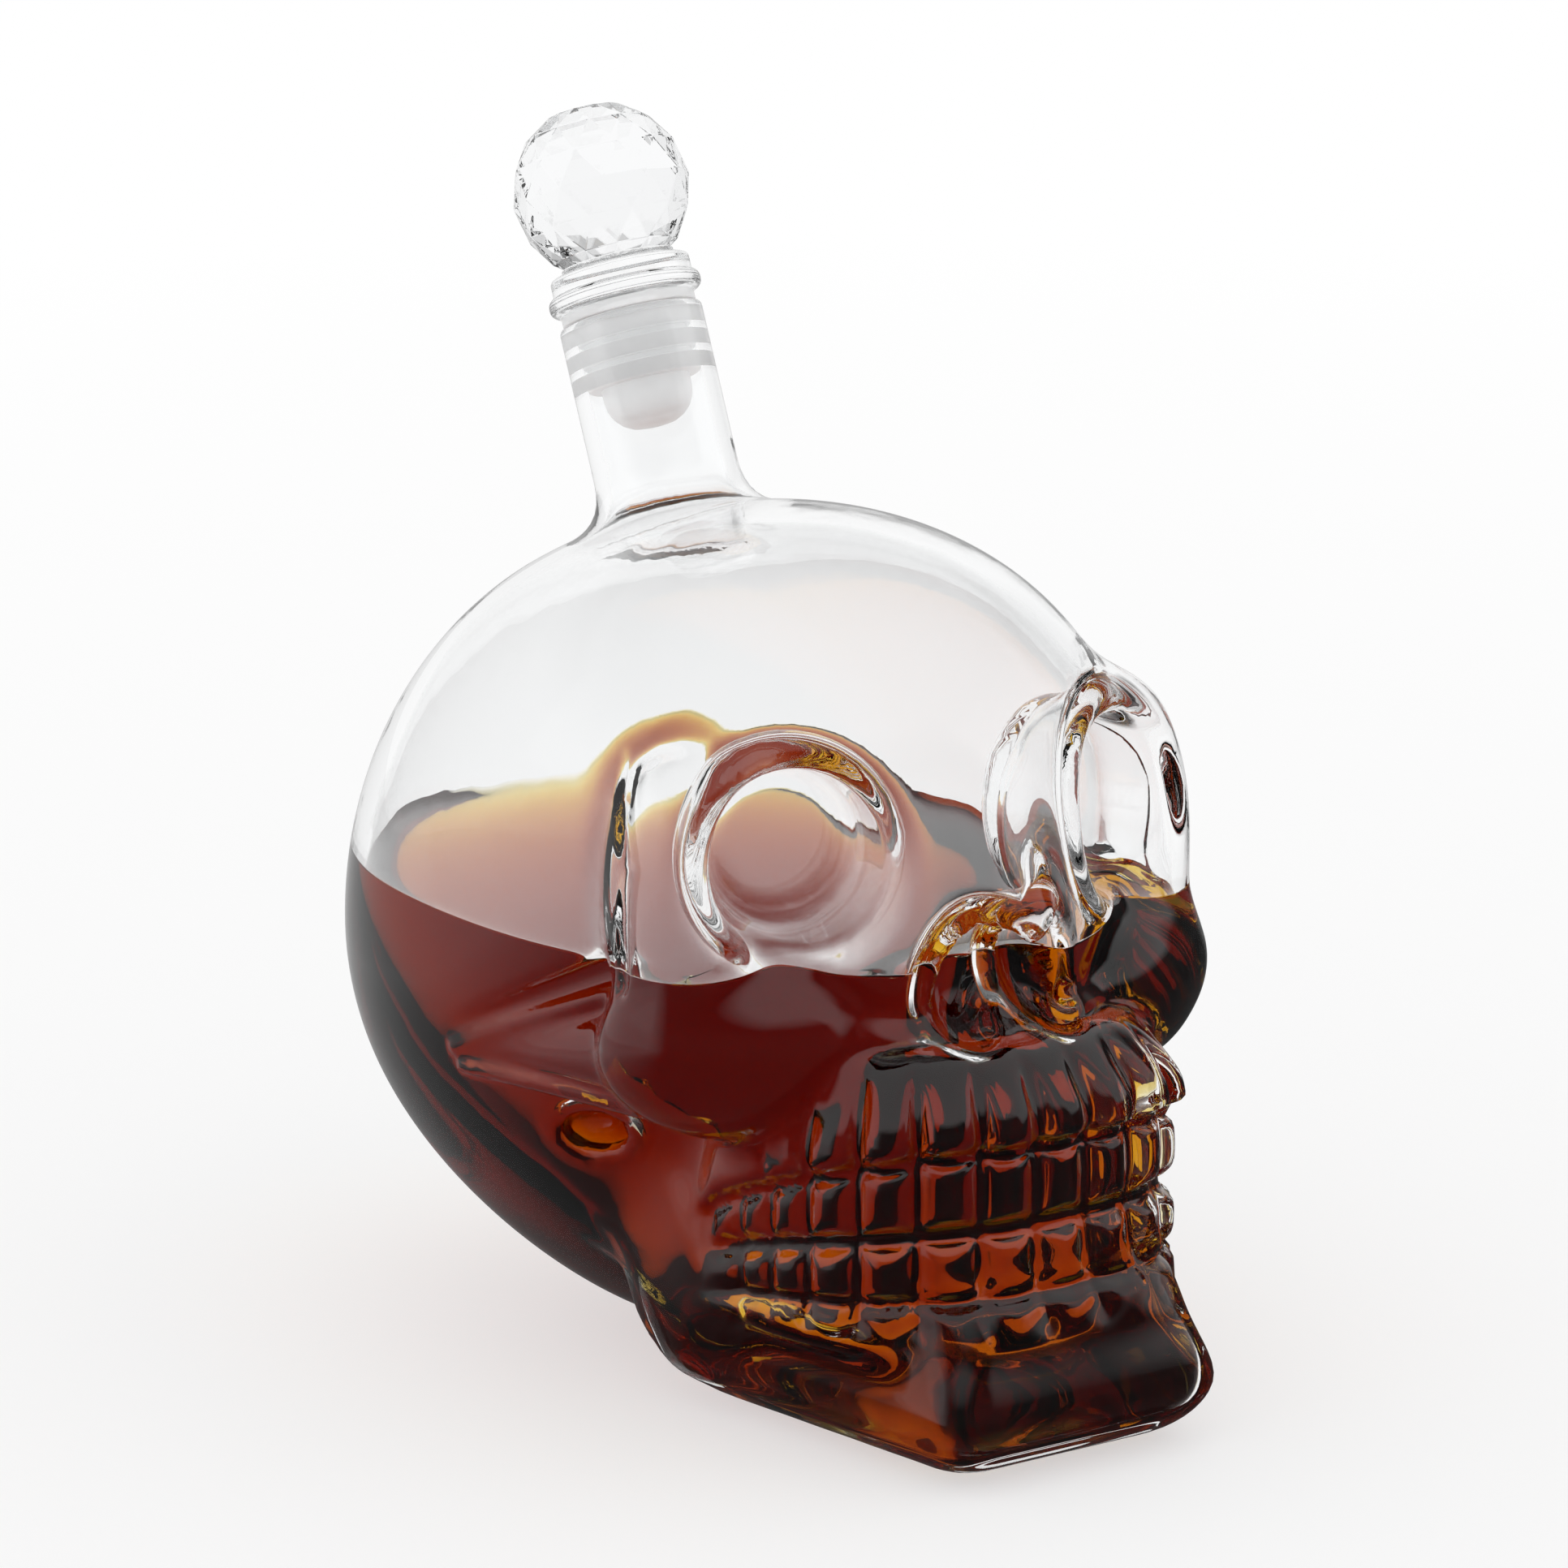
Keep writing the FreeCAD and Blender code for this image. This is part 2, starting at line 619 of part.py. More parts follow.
def lathe(corners):
    """Solid turned about the neck's axis from corners of radius, height over the crown and rounding."""
    points = [Vec(radius, 0, height) for radius, height, rounding in corners]
    edges = []
    ends = []
    for index, (radius, height, rounding) in enumerate(corners):
        corner = points[index]
        if rounding > 0:
            after = points[(index + 1) % len(points)]
            start, middle, end = rounded_corner(points[index - 1], corner, after, rounding)
            edges.append(Part.Arc(start, middle, end).toShape())
            ends.append((start, end))
        else:
            ends.append((corner, corner))
    for index, (start, end) in enumerate(ends):
        following = ends[(index + 1) % len(ends)][0]
        edges.append(Part.LineSegment(end, following).toShape())
    outline = Part.Wire(Part.__sortEdges__(edges))
    solid = Part.Face(outline).revolve(Vec(0, 0, 0), Vec(0, 0, 1), 360)
    return on_neck(solid)


def half_space(height, upward):
    """A block much larger than the decanter, on one side of a level plane."""
    size = 4 * BRAINCASE_LENGTH
    base = height if upward else height - size
    return Part.makeBox(size, size, size, Vec(-size / 2, -size / 2, base))


NECK_ROOT = -BRAINCASE_HEIGHT / 4
OVER_NECK = NECK_LENGTH + WALL


def blown_glass():
    """Glass of the whole bottle: skin, neck, hollow inside and bore, cut flat where it stands."""
    radius = NECK_OUTSIDE / 2
    bore = NECK_BORE / 2
    mouth = bore + NECK_RIM_ROUND
    neck = lathe([
        (0, NECK_ROOT, 0),
        (radius, NECK_ROOT, 0),
        (radius, NECK_LENGTH, NECK_RIM_ROUND),
        (0, NECK_LENGTH, 0),
    ])
    passage = lathe([
        (0, NECK_ROOT, 0),
        (bore, NECK_ROOT, 0),
        (bore, NECK_LENGTH - NECK_RIM_ROUND, 0),
        (mouth, NECK_LENGTH, 0),
        (mouth, OVER_NECK, 0),
        (0, OVER_NECK, 0),
    ])
    outside = skin(head_with_foot(), OUTER_COLUMN_COUNT, OUTER_ROW_COUNT)
    hollow = skin(inside(INNER_HEAD, WALL, FLOOR_WALL), INNER_COLUMN_COUNT, INNER_ROW_COUNT)
    return outside.cut(half_space(0.0, False)).fuse(neck).cut(hollow).cut(passage)


def parted(glass):
    """The glass as a bowl that holds the liquor, a dome over it and the neck with its shoulder."""
    shoulder = NECK_SHOULDER_DIAMETER / 2
    core = lathe([
        (0, NECK_ROOT, 0),
        (shoulder, NECK_ROOT, 0),
        (shoulder, OVER_NECK, 0),
        (0, OVER_NECK, 0),
    ])
    shell = glass.cut(core)
    bowl = shell.cut(half_space(LIQUOR_LEVEL, True))
    dome = shell.cut(half_space(LIQUOR_LEVEL, False))
    return [bowl, dome, glass.common(core)]


def liquor_fill():
    """Liquor in the lower half of the hollow, flat on top."""
    wet = inside(INNER_HEAD, WALL + LIQUOR_CLEARANCE, FLOOR_WALL + LIQUOR_CLEARANCE)
    return skin(wet, INNER_COLUMN_COUNT, INNER_ROW_COUNT).cut(half_space(LIQUOR_LEVEL, True))


SEAL_BOTTOM = NECK_LENGTH + SEAT_CLEARANCE
SEAL_TOP = SEAL_BOTTOM + SEAL_COLLAR_HEIGHT
SEAL_RIBS_END = NECK_LENGTH - NECK_RIM_ROUND - SEAL_RIB_COUNT * SEAL_RIB_STEP
SEAL_END = SEAL_RIBS_END - SEAL_CUP_LENGTH
SHANK_HOLE_END = SEAL_END + SEAL_CUP_FLOOR
LIP_BOTTOM = SEAL_TOP + SEAT_CLEARANCE
DISC_BOTTOM = LIP_BOTTOM + LIP_HEIGHT
PEDESTAL_BOTTOM = DISC_BOTTOM + DISC_HEIGHT
BALL_BOTTOM = PEDESTAL_BOTTOM + PEDESTAL_HEIGHT


def stopper_seal():
    """Soft sleeve: a collar on the neck's rim, ribs that fill the bore and a closed cup below them."""
    shank_hole = SHANK_DIAMETER / 2 + SHANK_FIT
    body = SEAL_BODY_DIAMETER / 2
    rib = NECK_BORE / 2 - SEAL_RIB_FIT
    cup = SEAL_CUP_DIAMETER / 2
    collar = SEAL_COLLAR_DIAMETER / 2
    outline = [(0, SHANK_HOLE_END, 0), (0, SEAL_END, 0), (cup, SEAL_END, SEAL_CUP_ROUND)]
    for index in range(SEAL_RIB_COUNT):
        groove = cup if index == 0 else body
        top = SEAL_RIBS_END + (index + 1) * SEAL_RIB_STEP
        low = top - SEAL_RIB_HEIGHT
        outline += [(groove, low, 0), (rib, low, 0), (rib, top, 0), (body, top, 0)]
    outline += [
        (body, SEAL_BOTTOM, 0),
        (collar, SEAL_BOTTOM, 0),
        (collar, SEAL_TOP, 0),
        (shank_hole, SEAL_TOP, 0),
        (shank_hole, SHANK_HOLE_END, 0),
    ]
    return lathe(outline)


def stopper_base():
    """Clear flange of the stopper, with the shank that fills the seal and the seat of the ball."""
    shank = SHANK_DIAMETER / 2
    shank_end = SHANK_HOLE_END + SHANK_END_GAP
    lip = LIP_DIAMETER / 2
    disc = DISC_DIAMETER / 2
    pedestal = PEDESTAL_DIAMETER / 2
    return lathe([
        (0, shank_end, 0),
        (shank, shank_end, 0),
        (shank, LIP_BOTTOM, 0),
        (lip, LIP_BOTTOM, LIP_ROUND),
        (lip, DISC_BOTTOM, LIP_ROUND),
        (disc, DISC_BOTTOM, 0),
        (disc, PEDESTAL_BOTTOM, DISC_ROUND),
        (pedestal, PEDESTAL_BOTTOM, 0),
        (pedestal, BALL_BOTTOM, 0),
        (0, BALL_BOTTOM, 0),
    ])


def ball_ring(band):
    """Corners of one ring of the ball's facets, staggered from the ring below."""
    radius = BALL_DIAMETER / 2
    lowest = -math.acos(BALL_SEAT_DIAMETER / BALL_DIAMETER)
    latitude = lowest * (1 - 2 * band / BALL_BAND_COUNT)
    height = BALL_BOTTOM + radius * (math.sin(latitude) - math.sin(lowest))
    ring = []
    for corner in range(BALL_FACET_COUNT):
        turn = 2 * math.pi * (corner + 0.5 * (band % 2)) / BALL_FACET_COUNT
        out = radius * math.cos(latitude)
        ring.append(Vec(out * math.cos(turn), out * math.sin(turn), height))
    return ring


def stopper_ball():
    """Cut crystal ball: staggered rings of corners on a sphere, joined by flat facets."""
    rings = [ball_ring(band) for band in range(BALL_BAND_COUNT + 1)]
    facets = [rings[0], rings[-1]]
    for band in range(BALL_BAND_COUNT):
        low, high = rings[band], rings[band + 1]
        shift = band % 2
        for corner in range(BALL_FACET_COUNT):
            after = (corner + 1) % BALL_FACET_COUNT
            high_tip = high[(corner + shift) % BALL_FACET_COUNT]
            low_tip = low[(corner + 1 - shift) % BALL_FACET_COUNT]
            facets.append([low[corner], low[after], high_tip])
            facets.append([high[corner], high[after], low_tip])
    faces = [Part.Face(Part.makePolygon(facet + facet[:1])) for facet in facets]
    return on_neck(Part.Solid(Part.Shell(faces)))


def main():
    """Builds every piece, centres them all on the bottle's box and writes one file for each."""
    os.makedirs("parts", exist_ok=True)
    glass = blown_glass()
    box = glass.optimalBoundingBox()
    centring = Vec(0, -(box.YMin + box.YMax) / 2, 0)
    pieces = parted(glass) + [liquor_fill(), stopper_seal(), stopper_base(), stopper_ball()]
    names = ["skull_bowl", "skull_dome", "bottle_neck"]
    names += ["liquor_fill", "stopper_seal", "stopper_base", "stopper_ball"]
    for name, piece in zip(names, pieces):
        piece.translate(centring)
        piece.exportStep(f"parts/{name}.step")
        print(name, "valid", piece.isValid(), "solids", len(piece.Solids), f"{piece.Volume / 1000:.2f} ml")
    crown = CROWN + centring
    print(f"crown {crown.x:.4f} {crown.y:.4f} {crown.z:.4f} moved {centring.y:.4f}")


main()
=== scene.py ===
"""Looks of a skull-shaped glass decanter, half full of liquor, with a cut ball stopper.

The skull is sculpted: plain masses are blocked out, joined, remeshed and carved, and then the mesh is
settled on one smooth field that blends the masses into each other. The field is in millimetres, in the
frame the part was drawn in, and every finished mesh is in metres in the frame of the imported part.
"""

import logging
import math
from dataclasses import dataclass, field
from enum import Enum
from typing import Any, Callable, Protocol

import bpy
import numpy as np
from mathutils import Euler, Matrix, Vector


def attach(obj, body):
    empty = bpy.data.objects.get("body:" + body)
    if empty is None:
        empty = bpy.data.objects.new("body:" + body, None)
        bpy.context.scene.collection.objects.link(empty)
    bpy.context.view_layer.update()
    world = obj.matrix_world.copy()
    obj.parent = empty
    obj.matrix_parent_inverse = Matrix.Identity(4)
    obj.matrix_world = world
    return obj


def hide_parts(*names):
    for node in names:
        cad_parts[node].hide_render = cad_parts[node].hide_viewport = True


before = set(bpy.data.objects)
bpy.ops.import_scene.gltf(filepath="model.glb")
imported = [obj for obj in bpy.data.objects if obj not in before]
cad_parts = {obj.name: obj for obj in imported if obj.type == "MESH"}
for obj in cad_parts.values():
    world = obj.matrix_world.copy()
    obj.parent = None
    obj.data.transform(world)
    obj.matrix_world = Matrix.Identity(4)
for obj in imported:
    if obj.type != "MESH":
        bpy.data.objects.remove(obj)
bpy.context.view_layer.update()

log = logging.getLogger("decanter")

Points = np.ndarray
Values = np.ndarray
Piece = bpy.types.Object
Pair = tuple[float, float]
Triple = tuple[float, float, float]
Colour = tuple[float, float, float, float]
Outline = list[Pair]

MM = 0.001
TINY = 1e-6
WHITE = (1.0, 1.0, 1.0, 1.0)

# Measures of the drawing, in millimetres and degrees
CENTRING_Y = 2.4994
NECK_LEAN = 23.0
CROWN = (0.0, 28.0352, 135.2537)
NECK_LENGTH = 33.2
NECK_RADIUS = 12.1
BORE_RADIUS = 9.7
NECK_CUT = 9.0
NECK_GAP = 0.8
ORIGIN = (0.0, 0.0, 0.0)

# Pitch, roll and yaw of blocks, in degrees
UPRIGHT = (0.0, 0.0, 0.0)
TIPPED = (90.0, 0.0, 0.0)
LEANING = (-NECK_LEAN, 0.0, 0.0)

# How finely plain blocks and rounded corners are divided
BALL_CORNERS = 48
BAR_CORNERS = 32
POST_CORNERS = 64
ARC_STEPS = 5

# Least and greatest corners of what needs a fine mesh: the teeth, the eyes and the cheek arch
ENDLESS = 1000.0
FINE_ZONES = (
    ((-1.0, -ENDLESS, 18.0), (ENDLESS, -27.0, 74.0)),
    ((-1.0, -ENDLESS, 74.0), (ENDLESS, -22.0, 122.0)),
    ((44.0, -ENDLESS, 44.0), (ENDLESS, 14.0, 82.0)),
)


class Side(Enum):
    """Whether a mass stands in the middle or on both sides of the face."""

    MIDDLE = "middle"
    BOTH = "both"


# Blending of masses

def joined(first: Values, second: Values, blend: float) -> Values:
    """Two masses that run into each other.

    Args:
        first: Distances to one mass.
        second: Distances to the other.
        blend: Breadth of the hollow between them.

    Returns:
        Distances to both together.
    """
    overlap = np.maximum(blend - np.abs(first - second), 0.0) / blend
    return np.minimum(first, second) - overlap * overlap * blend / 4


def trimmed(first: Values, second: Values, edge: float) -> Values:
    """What two masses share, with an edge rounded over the given breadth."""
    return -joined(-first, -second, edge)


def eased(value: Values, start: float | Values, end: float | Values) -> Values:
    """Smooth change from 0 at start to 1 at end."""
    share = np.clip((value - start) / (end - start), 0.0, 1.0)
    return share * share * (3 - 2 * share)


def bowed(share: Values, fullness: float = 1.0, power: int = 2) -> Values:
    """Fall of a round arch: 0 at its top, and more and more towards the end of its run."""
    return 1 - np.sqrt(np.maximum(0.0, 1 - fullness * share ** power))


def turning(turn: Triple) -> np.ndarray:
    """Axes of a mass that is turned by pitch, roll and yaw in degrees."""
    return np.array(Euler([math.radians(angle) for angle in turn], "XYZ").to_matrix())


def one_half(points: Points) -> Points:
    """Points with those of one half of the head laid over on to the other."""
    half = points.copy()
    half[..., 0] = np.abs(half[..., 0])
    return half


# Tools of the modelling bench

def choose(*pieces: Piece) -> None:
    """Selects these pieces alone and makes the first the active one."""
    bpy.ops.object.select_all(action="DESELECT")
    for piece in pieces:
        piece.select_set(True)
    bpy.context.view_layer.objects.active = pieces[0]


def fixed(piece: Piece) -> Piece:
    """Puts a piece's place, turn and size into its mesh."""
    choose(piece)
    bpy.ops.object.transform_apply(location=True, rotation=True, scale=True)
    return piece


def placed(centre: Triple, turn: Triple = UPRIGHT, size: Triple = (1.0, 1.0, 1.0)) -> Piece:
    """Puts the active piece in its place.

    Args:
        centre: Where its origin goes.
        turn: Pitch, roll and yaw in degrees.
        size: What it is drawn out by.

    Returns:
        The piece, with all that in its mesh.
    """
    piece = bpy.context.active_object
    piece.location = centre
    piece.rotation_euler = [math.radians(angle) for angle in turn]
    piece.scale = size
    return fixed(piece)


def fused(pieces: list[Piece]) -> Piece:
    """Joins several pieces into the first."""
    choose(*pieces)
    bpy.ops.object.join()
    return pieces[0]


def modified(piece: Piece, kind: str, **settings: Any) -> Piece:
    """Adds one modifier to a piece and applies it.

    Args:
        piece: The piece.
        kind: Type of the modifier.
        settings: Its settings.

    Returns:
        The piece.
    """
    choose(piece)
    modifier = piece.modifiers.new(kind.title(), kind)
    for name, value in settings.items():
        setattr(modifier, name, value)
    bpy.ops.object.modifier_apply(modifier=modifier.name)
    return piece


def pick(piece: Piece, kind: str, test: Callable[[np.ndarray], np.ndarray]) -> None:
    """Goes into edit mode with the vertices, edges or faces that pass a test selected.

    Args:
        piece: The piece.
        kind: VERT, EDGE or FACE.
        test: Takes the middles of the elements in the mesh's own units and gives which are wanted.
    """
    choose(piece)
    bpy.ops.object.mode_set(mode="EDIT")
    bpy.ops.mesh.select_mode(type=kind)
    bpy.ops.mesh.select_all(action="DESELECT")
    bpy.ops.object.mode_set(mode="OBJECT")
    points = mesh_points(piece)
    if kind == "VERT":
        items, middles = piece.data.vertices, points
    elif kind == "EDGE":
        items = piece.data.edges
        middles = points[mesh_edges(piece)].mean(axis=1)
    else:
        items, middles = piece.data.polygons, face_middles(piece)
    items.foreach_set("select", test(middles))
    bpy.ops.object.mode_set(mode="EDIT")


def enter(piece: Piece) -> None:
    """Goes into edit mode with the whole of a piece selected."""
    choose(piece)
    bpy.ops.object.mode_set(mode="EDIT")
    bpy.ops.mesh.select_all(action="SELECT")


def leave() -> None:
    """Goes back from edit mode to object mode."""
    bpy.ops.object.mode_set(mode="OBJECT")


def on_whole(piece: Piece, tool: Callable[..., Any], **settings: Any) -> None:
    """Uses one tool of edit mode on the whole of a piece."""
    enter(piece)
    tool(**settings)
    leave()


def mesh_points(piece: Piece) -> np.ndarray:
    """Corners of a piece's mesh."""
    points = np.empty(len(piece.data.vertices) * 3)
    piece.data.vertices.foreach_get("co", points)
    return points.reshape(-1, 3)


def face_middles(piece: Piece) -> np.ndarray:
    """Middles of the faces of a piece's mesh."""
    middles = np.empty(len(piece.data.polygons) * 3)
    piece.data.polygons.foreach_get("center", middles)
    return middles.reshape(-1, 3)


def mesh_edges(piece: Piece) -> np.ndarray:
    """Pairs of corners that the edges of a piece's mesh join."""
    pairs = np.empty(len(piece.data.edges) * 2, dtype=np.int64)
    piece.data.edges.foreach_get("vertices", pairs)
    return pairs.reshape(-1, 2)


def set_points(piece: Piece, points: np.ndarray) -> None:
    """Moves the corners of a piece's mesh."""
    piece.data.vertices.foreach_set("co", points.ravel())
    piece.data.update()


def mark_faces(piece: Piece, name: str, values: np.ndarray) -> None:
    """Gives each face of a piece a value that its finish can read."""
    layer = piece.data.attributes.new(name, "FLOAT", "FACE")
    layer.data.foreach_set("value", values.astype(float))


def from_drawing(points: Points) -> np.ndarray:
    """Points of the drawing, in millimetres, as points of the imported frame, in metres."""
    return (points + np.array([0.0, CENTRING_Y, 0.0])) * MM


def neck_axis() -> np.ndarray:
    """Direction of the neck, which leans back from the crown."""
    lean = math.radians(NECK_LEAN)
    return np.array([0.0, math.sin(lean), math.cos(lean)])


def along_neck(points: Points) -> tuple[Values, Values]:
    """Height over the crown along the neck, and distance from its axis, in millimetres."""
    away = points - np.array(CROWN)
    height = away @ neck_axis()
    radius = np.linalg.norm(away - height[..., None] * neck_axis(), axis=-1)
    return height, radius


def on_neck(piece: Piece) -> Piece:
    """Moves a piece that was made upright, in millimetres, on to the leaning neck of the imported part."""
    place = Matrix.Translation(Vector(from_drawing(np.array(CROWN))))
    lean = Matrix.Rotation(-math.radians(NECK_LEAN), 4, "X")
    piece.matrix_world = place @ lean @ Matrix.Scale(MM, 4)
    return fixed(piece)


def arc(radius: float, height: float, rounding: float, start: float, end: float) -> Outline:
    """Outline of a rounded corner about a point, between two angles in degrees."""
    outline = []
    for step in range(ARC_STEPS + 1):
        turn = math.radians(start + (end - start) * step / ARC_STEPS)
        outline.append((radius + rounding * math.cos(turn), height + rounding * math.sin(turn)))
    return outline


def drawn_up(name: str, outline: Outline, corners: int) -> Piece:
    """Draws a ring of corners up an outline, as on a lathe, with both ends open.

    Args:
        name: Name of the piece.
        outline: Radius and height of each step, in millimetres.
        corners: Corners of the ring.

    Returns:
        The piece, upright on the origin, in millimetres.
    """
    radius, height = outline[0]
    bpy.ops.object.select_all(action="DESELECT")
    bpy.ops.mesh.primitive_circle_add(vertices=corners, radius=radius)
    piece = placed((0, 0, height))
    piece.name = name
    enter(piece)
    for next_radius, next_height in outline[1:]:
        rise = (0, 0, next_height - height)
        bpy.ops.mesh.extrude_edges_move(TRANSFORM_OT_translate={"value": rise})
        share = next_radius / radius
        bpy.ops.transform.resize(value=(share, share, 1), center_override=(0, 0, next_height))
        radius, height = next_radius, next_height
    leave()
    return piece


def capped(piece: Piece) -> Piece:
    """Closes the open ends of a piece and turns all its faces outwards."""
    enter(piece)
    bpy.ops.mesh.select_mode(type="EDGE")
    bpy.ops.mesh.select_all(action="DESELECT")
    bpy.ops.mesh.select_non_manifold()
    bpy.ops.mesh.edge_face_add()
    bpy.ops.mesh.select_all(action="SELECT")
    bpy.ops.mesh.normals_make_consistent(inside=False)
    leave()
    return piece


# Masses of the head

class Mass(Protocol):
    """Something that can be blocked out and that knows how far points are from it."""

    def distance(self, points: Points) -> Values:
        """Signed distances of points, below zero inside."""

    def block(self) -> Piece:
        """A plain block of the same size and place, in millimetres."""


@dataclass(frozen=True)
class Lump:
    """A rounded mass: an ellipsoid, turned by pitch, roll and yaw."""

    centre: Triple
    size: Triple
    turn: Triple = UPRIGHT

    def distance(self, points: Points) -> Values:
        """Signed distances of points, below zero inside."""
        local = (points - np.array(self.centre)) @ turning(self.turn)
        radii = np.array(self.size) / 2
        near = np.linalg.norm(local / radii, axis=-1)
        slope = np.linalg.norm(local / (radii * radii), axis=-1)
        return near * (near - 1) / np.maximum(slope, TINY)

    def block(self) -> Piece:
        """A ball drawn out to the ellipsoid."""
        rings = BALL_CORNERS // 2
        bpy.ops.mesh.primitive_uv_sphere_add(segments=BALL_CORNERS, ring_count=rings, radius=0.5)
        return placed(self.centre, self.turn, self.size)


@dataclass(frozen=True)
class Bar:
    """A round bar that tapers from one end to the other."""

    start: Triple
    end: Triple
    start_radius: float
    end_radius: float

    def distance(self, points: Points) -> Values:
        """Signed distances of points, below zero inside."""
        start = np.array(self.start)
        run = np.array(self.end) - start
        share = np.clip((points - start) @ run / (run @ run), 0.0, 1.0)
        away = np.linalg.norm(points - start - share[..., None] * run, axis=-1)
        return away - self.start_radius - (self.end_radius - self.start_radius) * share

    def block(self) -> Piece:
        """A cone between two balls."""
        run = Vector(self.end) - Vector(self.start)
        bpy.ops.mesh.primitive_cone_add(
            vertices=BAR_CORNERS, radius1=self.start_radius, radius2=self.end_radius, depth=run.length
        )
        cone = bpy.context.active_object
        cone.location = (Vector(self.start) + Vector(self.end)) / 2
        cone.rotation_euler = run.to_track_quat("Z", "Y").to_euler()
        blocks = [fixed(cone)]
        for place, radius in ((self.start, self.start_radius), (self.end, self.end_radius)):
            bpy.ops.mesh.primitive_uv_sphere_add(
                segments=BAR_CORNERS, ring_count=BAR_CORNERS // 2, radius=radius
            )
            blocks.append(placed(place))
        return fused(blocks)


@dataclass(frozen=True)
class Bowl:
    """A round hollow with a flat floor, whose wall widens towards its mouth."""

    floor_centre: Triple
    width: float
    height: float
    depth: float
    flare: float
    corner: float
    turn: Triple = UPRIGHT

    def distance(self, points: Points) -> Values:
        """Signed distances of points, below zero inside."""
        local = (points - np.array(self.floor_centre)) @ turning(self.turn)
        away = np.hypot(local[..., 0], local[..., 2] * self.width / self.height)
        slope = math.tan(math.radians(self.flare))
        wall = (away - self.width / 2 + slope * local[..., 1]) * math.cos(math.radians(self.flare))
        return trimmed(wall, local[..., 1], self.corner)

    def block(self) -> Piece:
        """A cone cut off at the floor and drawn out to the hollow's width and height."""
        mouth = self.width / 2 + self.depth * math.tan(math.radians(self.flare))
        bpy.ops.mesh.primitive_cone_add(
            vertices=BALL_CORNERS, radius1=self.width / 2, radius2=mouth, depth=self.depth
        )
        placed((0, 0, self.depth / 2))
        placed(ORIGIN, TIPPED)
        return placed(self.floor_centre, self.turn, (1, 1, self.height / self.width))


@dataclass(frozen=True)
class Plate:
    """A plate square to X, with half-round edges, that leans back by an angle in degrees."""

    centre: Triple
    size: Triple
    lean: float
    bevel_share: float = 0.3
    bevel_steps: int = 3

    def distance(self, points: Points) -> Values:
        """Signed distances of points, below zero inside."""
        local = points - np.array(self.centre)
        edge = self.size[0] / 2
        cosine, sine = math.cos(math.radians(self.lean)), math.sin(math.radians(self.lean))
        across = np.abs(local[..., 1] * cosine - local[..., 2] * sine) - self.size[1] / 2 + edge
        along = np.abs(local[..., 2] * cosine + local[..., 1] * sine) - self.size[2] / 2 + edge
        out = np.maximum(across, 0.0) ** 2 + np.maximum(along, 0.0) ** 2
        return np.sqrt(local[..., 0] ** 2 + out) - edge

    def block(self) -> Piece:
        """A cube drawn out to the plate, with its edges bevelled."""
        bpy.ops.mesh.primitive_cube_add(size=1.0)
        cube = placed(ORIGIN, size=self.size)
        modified(cube, "BEVEL", width=self.size[0] * self.bevel_share, segments=self.bevel_steps)
        return placed(self.centre, (-self.lean, 0, 0))


